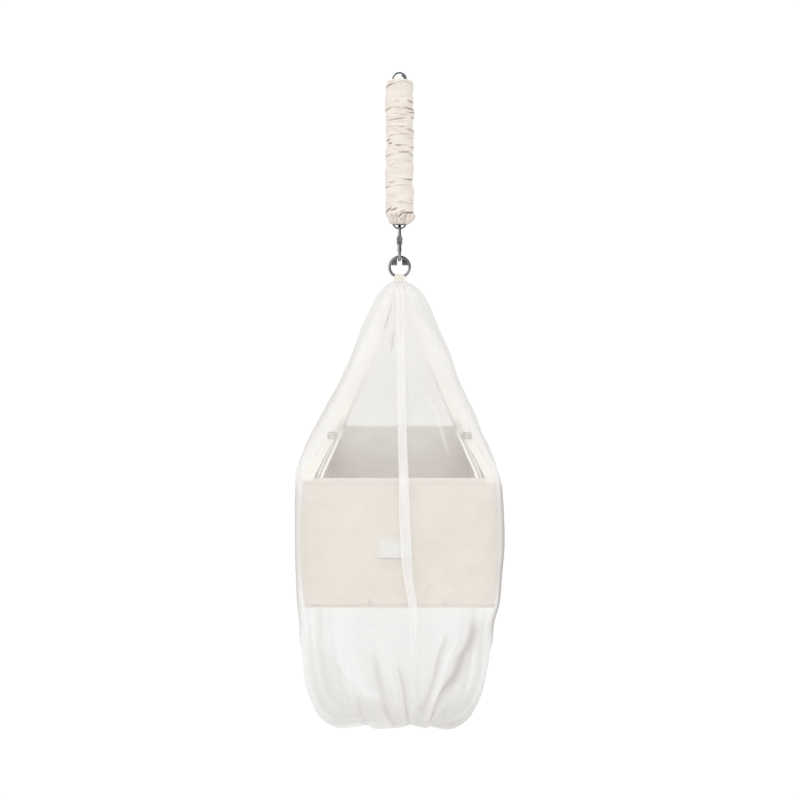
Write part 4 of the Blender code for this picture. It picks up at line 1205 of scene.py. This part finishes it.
def net_hang(s, z, long, outs, low):
    """How far the folds of the hanging cloth stand out and lean aside, at its neck, in the tent and low."""
    phase = FULL_TURN * s
    depth, lean = 0 * z, 0 * z
    neck = over(z, -0.62, 0.14) * under(z, -0.458, 0.02)
    tent = over(z, -0.80, 0.10) * under(z, -0.47, 0.06)
    sides = over(np.abs(outs[..., 0]), 0.80, 0.15) * under(z, -0.70, 0.10) * over(z, -1.30, 0.12)
    for number, size, wander, start, seat in (
        (13, 0.0050, 0.9, 0.4, low), (21, 0.0036, 0.8, 2.1, low), (33, 0.0016, 0.6, 4.0, low),
        (17, 0.0030, 0.7, 1.0, neck), (27, 0.0016, 0.8, 3.0, neck), (9, 0.0022, 0.4, 5.0, tent),
        (15, 0.0010, 0.5, 0.2, tent), (47, 0.0016, 1.2, 0.7, sides),
    ):
        stray = np.sin(3 * phase + start) + 0.8 * np.sin(7 * phase - start + z * 3)
        turn = number * phase + wander * stray + start
        strong = 0.55 + 0.45 * np.sin(5 * phase + start * 2 + z * 2.0)
        most = np.minimum(size, 0.16 * long / number) * seat * strong
        depth = depth + most * np.sin(turn)
        lean = lean + 0.8 * most * np.cos(turn)
    return depth, lean


def net_lines(s, z, long):
    """The single folds of the front: how far they stand out, their painted shade, which under 0 is a painted
    highlight, and their added layers.
    """
    depth, shade, more = 0 * z, 0 * z, 0 * z
    narrow = np.clip(long / 1.1, 0.35, 1.0)
    for s1, z1, s2, z2, s3, z3, wide, rise, dark, added in NET_LINES:
        path = through((-z1, -z2, -z3), (s1, s2, s3), np.clip(-z[:, 0], -z1, -z3))
        away = ((s - path + 0.5) % 1.0 - 0.5) * long
        fade = min(0.025, 0.3 * (z1 - z3))
        seen = under(z, z1 + fade, 2 * fade) * over(z, z3 - fade, 2 * fade)
        bump = seen * bell(away, wide * narrow)
        depth = depth + rise * narrow * bump
        more = more + added * bump
        shade = shade + 0.42 * dark * bump
    return depth, shade, more


def net_tuck(verts, centre):
    """The last row again, turned up inside the pucker."""
    tuck = []
    for drop, shrink in ((0.006, 0.80), (0.014, 0.62), (0.022, 0.50)):
        ring = verts[-1].copy()
        ring[:, :2] = centre + (ring[:, :2] - centre) * shrink
        ring[:, 2] += drop
        tuck.append(ring)
    return np.concatenate([verts, np.array(tuck)])


def net_layers(s, z, base, corners):
    """How many layers of the net lie over each other, to the eye of someone at the front."""
    gap = np.linalg.norm(np.roll(base, -1, axis=1) - base, axis=2)
    gap = np.concatenate([gap, gap[-3:]])
    gap = (gap + np.roll(gap, 1, axis=1)) / 2
    part = (np.roll(s, -1, axis=1) - s) % 1.0
    part = (part + np.roll(part, 1, axis=1)) / 2
    drawn = np.clip(NET_CUT_ROUND * part / np.maximum(gap, 1e-6), 1.0, 7.0)
    near = 4
    drawn = sum(np.roll(drawn, n, axis=1) for n in range(-near, near + 1)) / (2 * near + 1)
    drawn = blend(1.0, drawn, under(z, -1.10, 0.10))
    drawn = drawn + 0.15 * over(z, -0.93, 0.05) + 1.6 * over(z, 0.085 * corners - 0.860, 0.125)
    return drawn + 1.3 * over(z, -0.72, 0.16) + 4.0 * over(z, -0.485, 0.03)


def make_net(sheer):
    share, rows = net_shares(), net_levels()
    base, outs = net_sections(rows, share)
    s, z = np.meshgrid(share, rows[:, 0])
    long = np.linalg.norm(np.roll(base, -1, axis=1) - base, axis=2).sum(axis=1)[:, None]
    low = under(z, -1.09, 0.16)
    folds = sum(height * bell(share - middle, width) for middle, width, height in NET_FOLDS)
    depth, lean = net_hang(s, z, long, outs, low)
    quiet = over(np.minimum(s, 1 - s), 0.004, 0.010)
    depth = (depth + rows[:, 9:] * folds) * blend(1.0, quiet, 1 - low)
    depth = depth + 0.0010 * waves(21, s * 2.3, z, 0.16) * under(z, -0.47, 0.05) * over(z, -1.40, 0.05)
    line_depth, line_shade, more = net_lines(s, z, long)
    depth = depth + line_depth
    # Painted shade low down and on the right of its front, and painted light high up
    shade = line_shade + 0.10 * under(z, -1.20, 0.16) + 0.12 * under(z, -1.365, 0.03)
    shade = shade - 0.20 * over(z, -0.88, 0.12) - 0.10 * over(z, -0.70, 0.12)
    shade = shade + 0.26 * bell(s - 0.072, 0.030) * under(z, -1.08, 0.04)
    # Its upright edges beside the cradle, where it is seen edge on: more layers, and painted shade
    bend = NET_COUNTS[0] + NET_COUNTS[1]
    right, left = share[bend], share[-bend]
    upright = under(z, -0.81, 0.05) * over(z, -1.18, 0.10)
    for place, dark, wide in ((right, 1.8, 0.015), (left, 0.8, 0.018)):
        seam = dark * bell((s - place) * long, wide) * upright
        more = more + 3.0 * seam
        shade = shade + seam
    # Painted shade by its corners, between the rim and the tent
    corners = bell(np.minimum(np.abs(s - right), np.abs(s - left)), 0.035)
    shade = shade + 0.22 * corners * over(z, -0.85, 0.05) * under(z, -0.60, 0.08)
    tangent = together(-outs[..., 1], outs[..., 0])
    flat = base + outs * depth[..., None] + tangent * lean[..., None]
    # The photograph's outline is fuller on the right of the tent, and narrower at the lower corners
    flat[..., 0] += 0.0095 * ease(outs[..., 0] / 0.8) * bell(z + 0.602, 0.045)
    flat[..., 0] *= 1 - 0.048 * bell(z + 1.340, 0.042)
    x, phase = flat[..., 0], FULL_TURN * s
    lobe = 0.003 * np.sin(6 * phase + 1.2) + 0.002 * np.sin(11 * phase + 0.4)
    lobe = lobe - 0.013 * bell(x + 0.150, 0.050) - 0.008 * bell(x - 0.110, 0.040)
    hem_z = z + lobe * under(z, -1.30, 0.08) * over(long, 0.25, 0.5)
    verts = net_tuck(together(x, flat[..., 1], hem_z), base[-1].mean(axis=0))
    none = np.zeros((len(verts) - len(z), len(share)))
    more, shade = np.concatenate([more, none]), np.concatenate([shade, none])
    drawn = net_layers(share[None, :], verts[..., 2], base, corners[:1]) + more
    behind = under(np.abs(share - 0.5), 0.22, 0.06) * over(verts[..., 2], -0.84, 0.06)
    drawn = np.maximum(drawn - 0.6 * behind, 1.0)
    # It is open all the way down the front, where its two edges just overlap
    verts = np.concatenate([verts, verts[:, :1] + (0.0004, 0.0003, 0.0)], axis=1)
    uv = together(NET_CUT_ROUND * np.append(share, 1.0), lengths(verts.mean(axis=1))[:, None])
    net = piece_from("net_sheer", verts, grid_faces(*verts.shape[:2]), uv)
    for name, values in (("cover", drawn), ("mark", np.clip(shade, -1, 1))):
        mark(net, np.concatenate([values, values[:, :1]], axis=1), name)
    return wear_it(net, sheer, ROOT, "sheer_net", "net_canopy")


def make_placket(band):
    """The band down the net's front line, which thins out at both ends."""
    z = np.linspace(*PLACKET_Z, 150)
    rows = through(-NET_ROWS[:20, 0], NET_ROWS[:20], -z)
    y = rows[:, 7] - rows[:, 2]
    along = unit(together(0.0, np.gradient(y, z), 1.0 + 0 * z))
    out = together(0.0, -along[:, 2], along[:, 1])
    centres = together(rows[:, 8], y, z) + out * np.sign(-out[:, 1:2]) * 0.0026
    centres[:, 0] += 0.0005 * np.sin(z * 38) + 0.0032 * bell(z + 1.075, 0.05)
    wide = through(-PLACKET_WIDTHS[:, 0], PLACKET_WIDTHS[:, 1], -z)[:, 0]

    def ripple(a, t):
        return 0.0007 * np.sin(a * 2.2 + t * 40) + 0.0005 * np.sin(a * 5 + t * 23)

    placket = ribbon("placket_band", centres, wide, 0.0010, 21, 0.3, ripple=ripple)
    heights = np.array([v.co.z for v in placket.data.vertices])
    cover = blend(0.45, 1.0, over(heights, PLACKET_Z[1], 0.10)) * blend(1.0, 0.45, over(heights, -0.70, 0.18))
    cover = cover * blend(1.0, 0.74, under(heights, -0.83, 0.11))
    mark(placket, np.maximum(cover, 0.42), "cover")
    return wear_it(placket, band, ROOT, "placket_cloth", "front_placket")


# ---------------------------------------------------------------- all of it

def main():
    make_stage()
    spring_steel = metal_material("spring_steel_wire", (0.31, 0.31, 0.315), (0.15, 0.15, 0.155), 0.28)
    steel = metal_material("worn_steel", (0.46, 0.455, 0.45), (0.22, 0.22, 0.22), 0.26)
    gate_steel = metal_material("gate_steel", (0.40, 0.40, 0.40), (0.18, 0.18, 0.18), 0.28)
    small_steel = metal_material("slider_plate", (0.62, 0.61, 0.60), (0.45, 0.44, 0.43), 0.35)
    cotton, canvas, web, corner_web, tab_web, patch, thread = (cloth_material(*values) for values in (
        # name, colour, dark, pitch, weave, mottle, twill, deep (the painted shade colour)
        ("ruched_cotton", (0.80, 0.735, 0.67), (0.76, 0.69, 0.62), 0.0012, 0.12, 30.0, False,
         (0.30, 0.205, 0.14)),
        ("plain_canvas", (0.805, 0.742, 0.675), (0.73, 0.672, 0.605), 0.0014, 0.30, 12.0),
        ("cream_webbing", (0.95, 0.925, 0.87), (0.90, 0.875, 0.82), 0.0018, 0.6, 40.0, True),
        ("corner_webbing", (0.90, 0.865, 0.79), (0.85, 0.815, 0.74), 0.0018, 0.6, 40.0, True),
        # A darker copy of the cream webbing: painted shade on the ring's tab
        ("tab_webbing_painted_shade", (0.77, 0.74, 0.66), (0.71, 0.68, 0.60), 0.0018, 0.6, 40.0, True),
        ("pale_patch", (0.80, 0.79, 0.76), (0.76, 0.75, 0.72), 0.0008, 0.25),
        ("cream_thread", (0.84, 0.79, 0.71), (0.74, 0.69, 0.61), 0.0004, 0.4),
    ))
    # The net's last colour is its painted shade
    sheer = sheer_material("sheer_mesh", (0.91, 0.90, 0.882), NET_COVER, (0.60, 0.575, 0.55))
    band = sheer_material("doubled_mesh", (0.985, 0.98, 0.98), 0.60, vary=0.04)
    make_spring(spring_steel)
    make_hook(steel, gate_steel)
    make_ring(steel)
    sleeve = make_sleeve(cotton)
    tab = make_tab(tab_web)
    label = make_label(patch, thread)
    floor_cloth = make_floor_panel(canvas)
    make_seams(canvas)
    make_hem_stitches(thread)
    sides = (("left", -1, 80), ("right", 1, 90))
    for end_name, end, seed in (("near", -1, NEAR_SEED), ("far", 1, FAR_SEED)):
        panel = make_end_panel(end_name, end, canvas, seed)
        for side_name, side, _ in sides:
            corner = f"{end_name}_{side_name}"
            strap = make_strap(corner, side, end, web)
            small = make_corner_tab(corner, side, end, corner_web)
            make_slider(corner, side, end, small_steel)
    for side_name, side, seed in sides:
        panel = make_side_panel(side_name, side, canvas, seed)
    net = make_net(sheer)
    make_placket(band)


main()
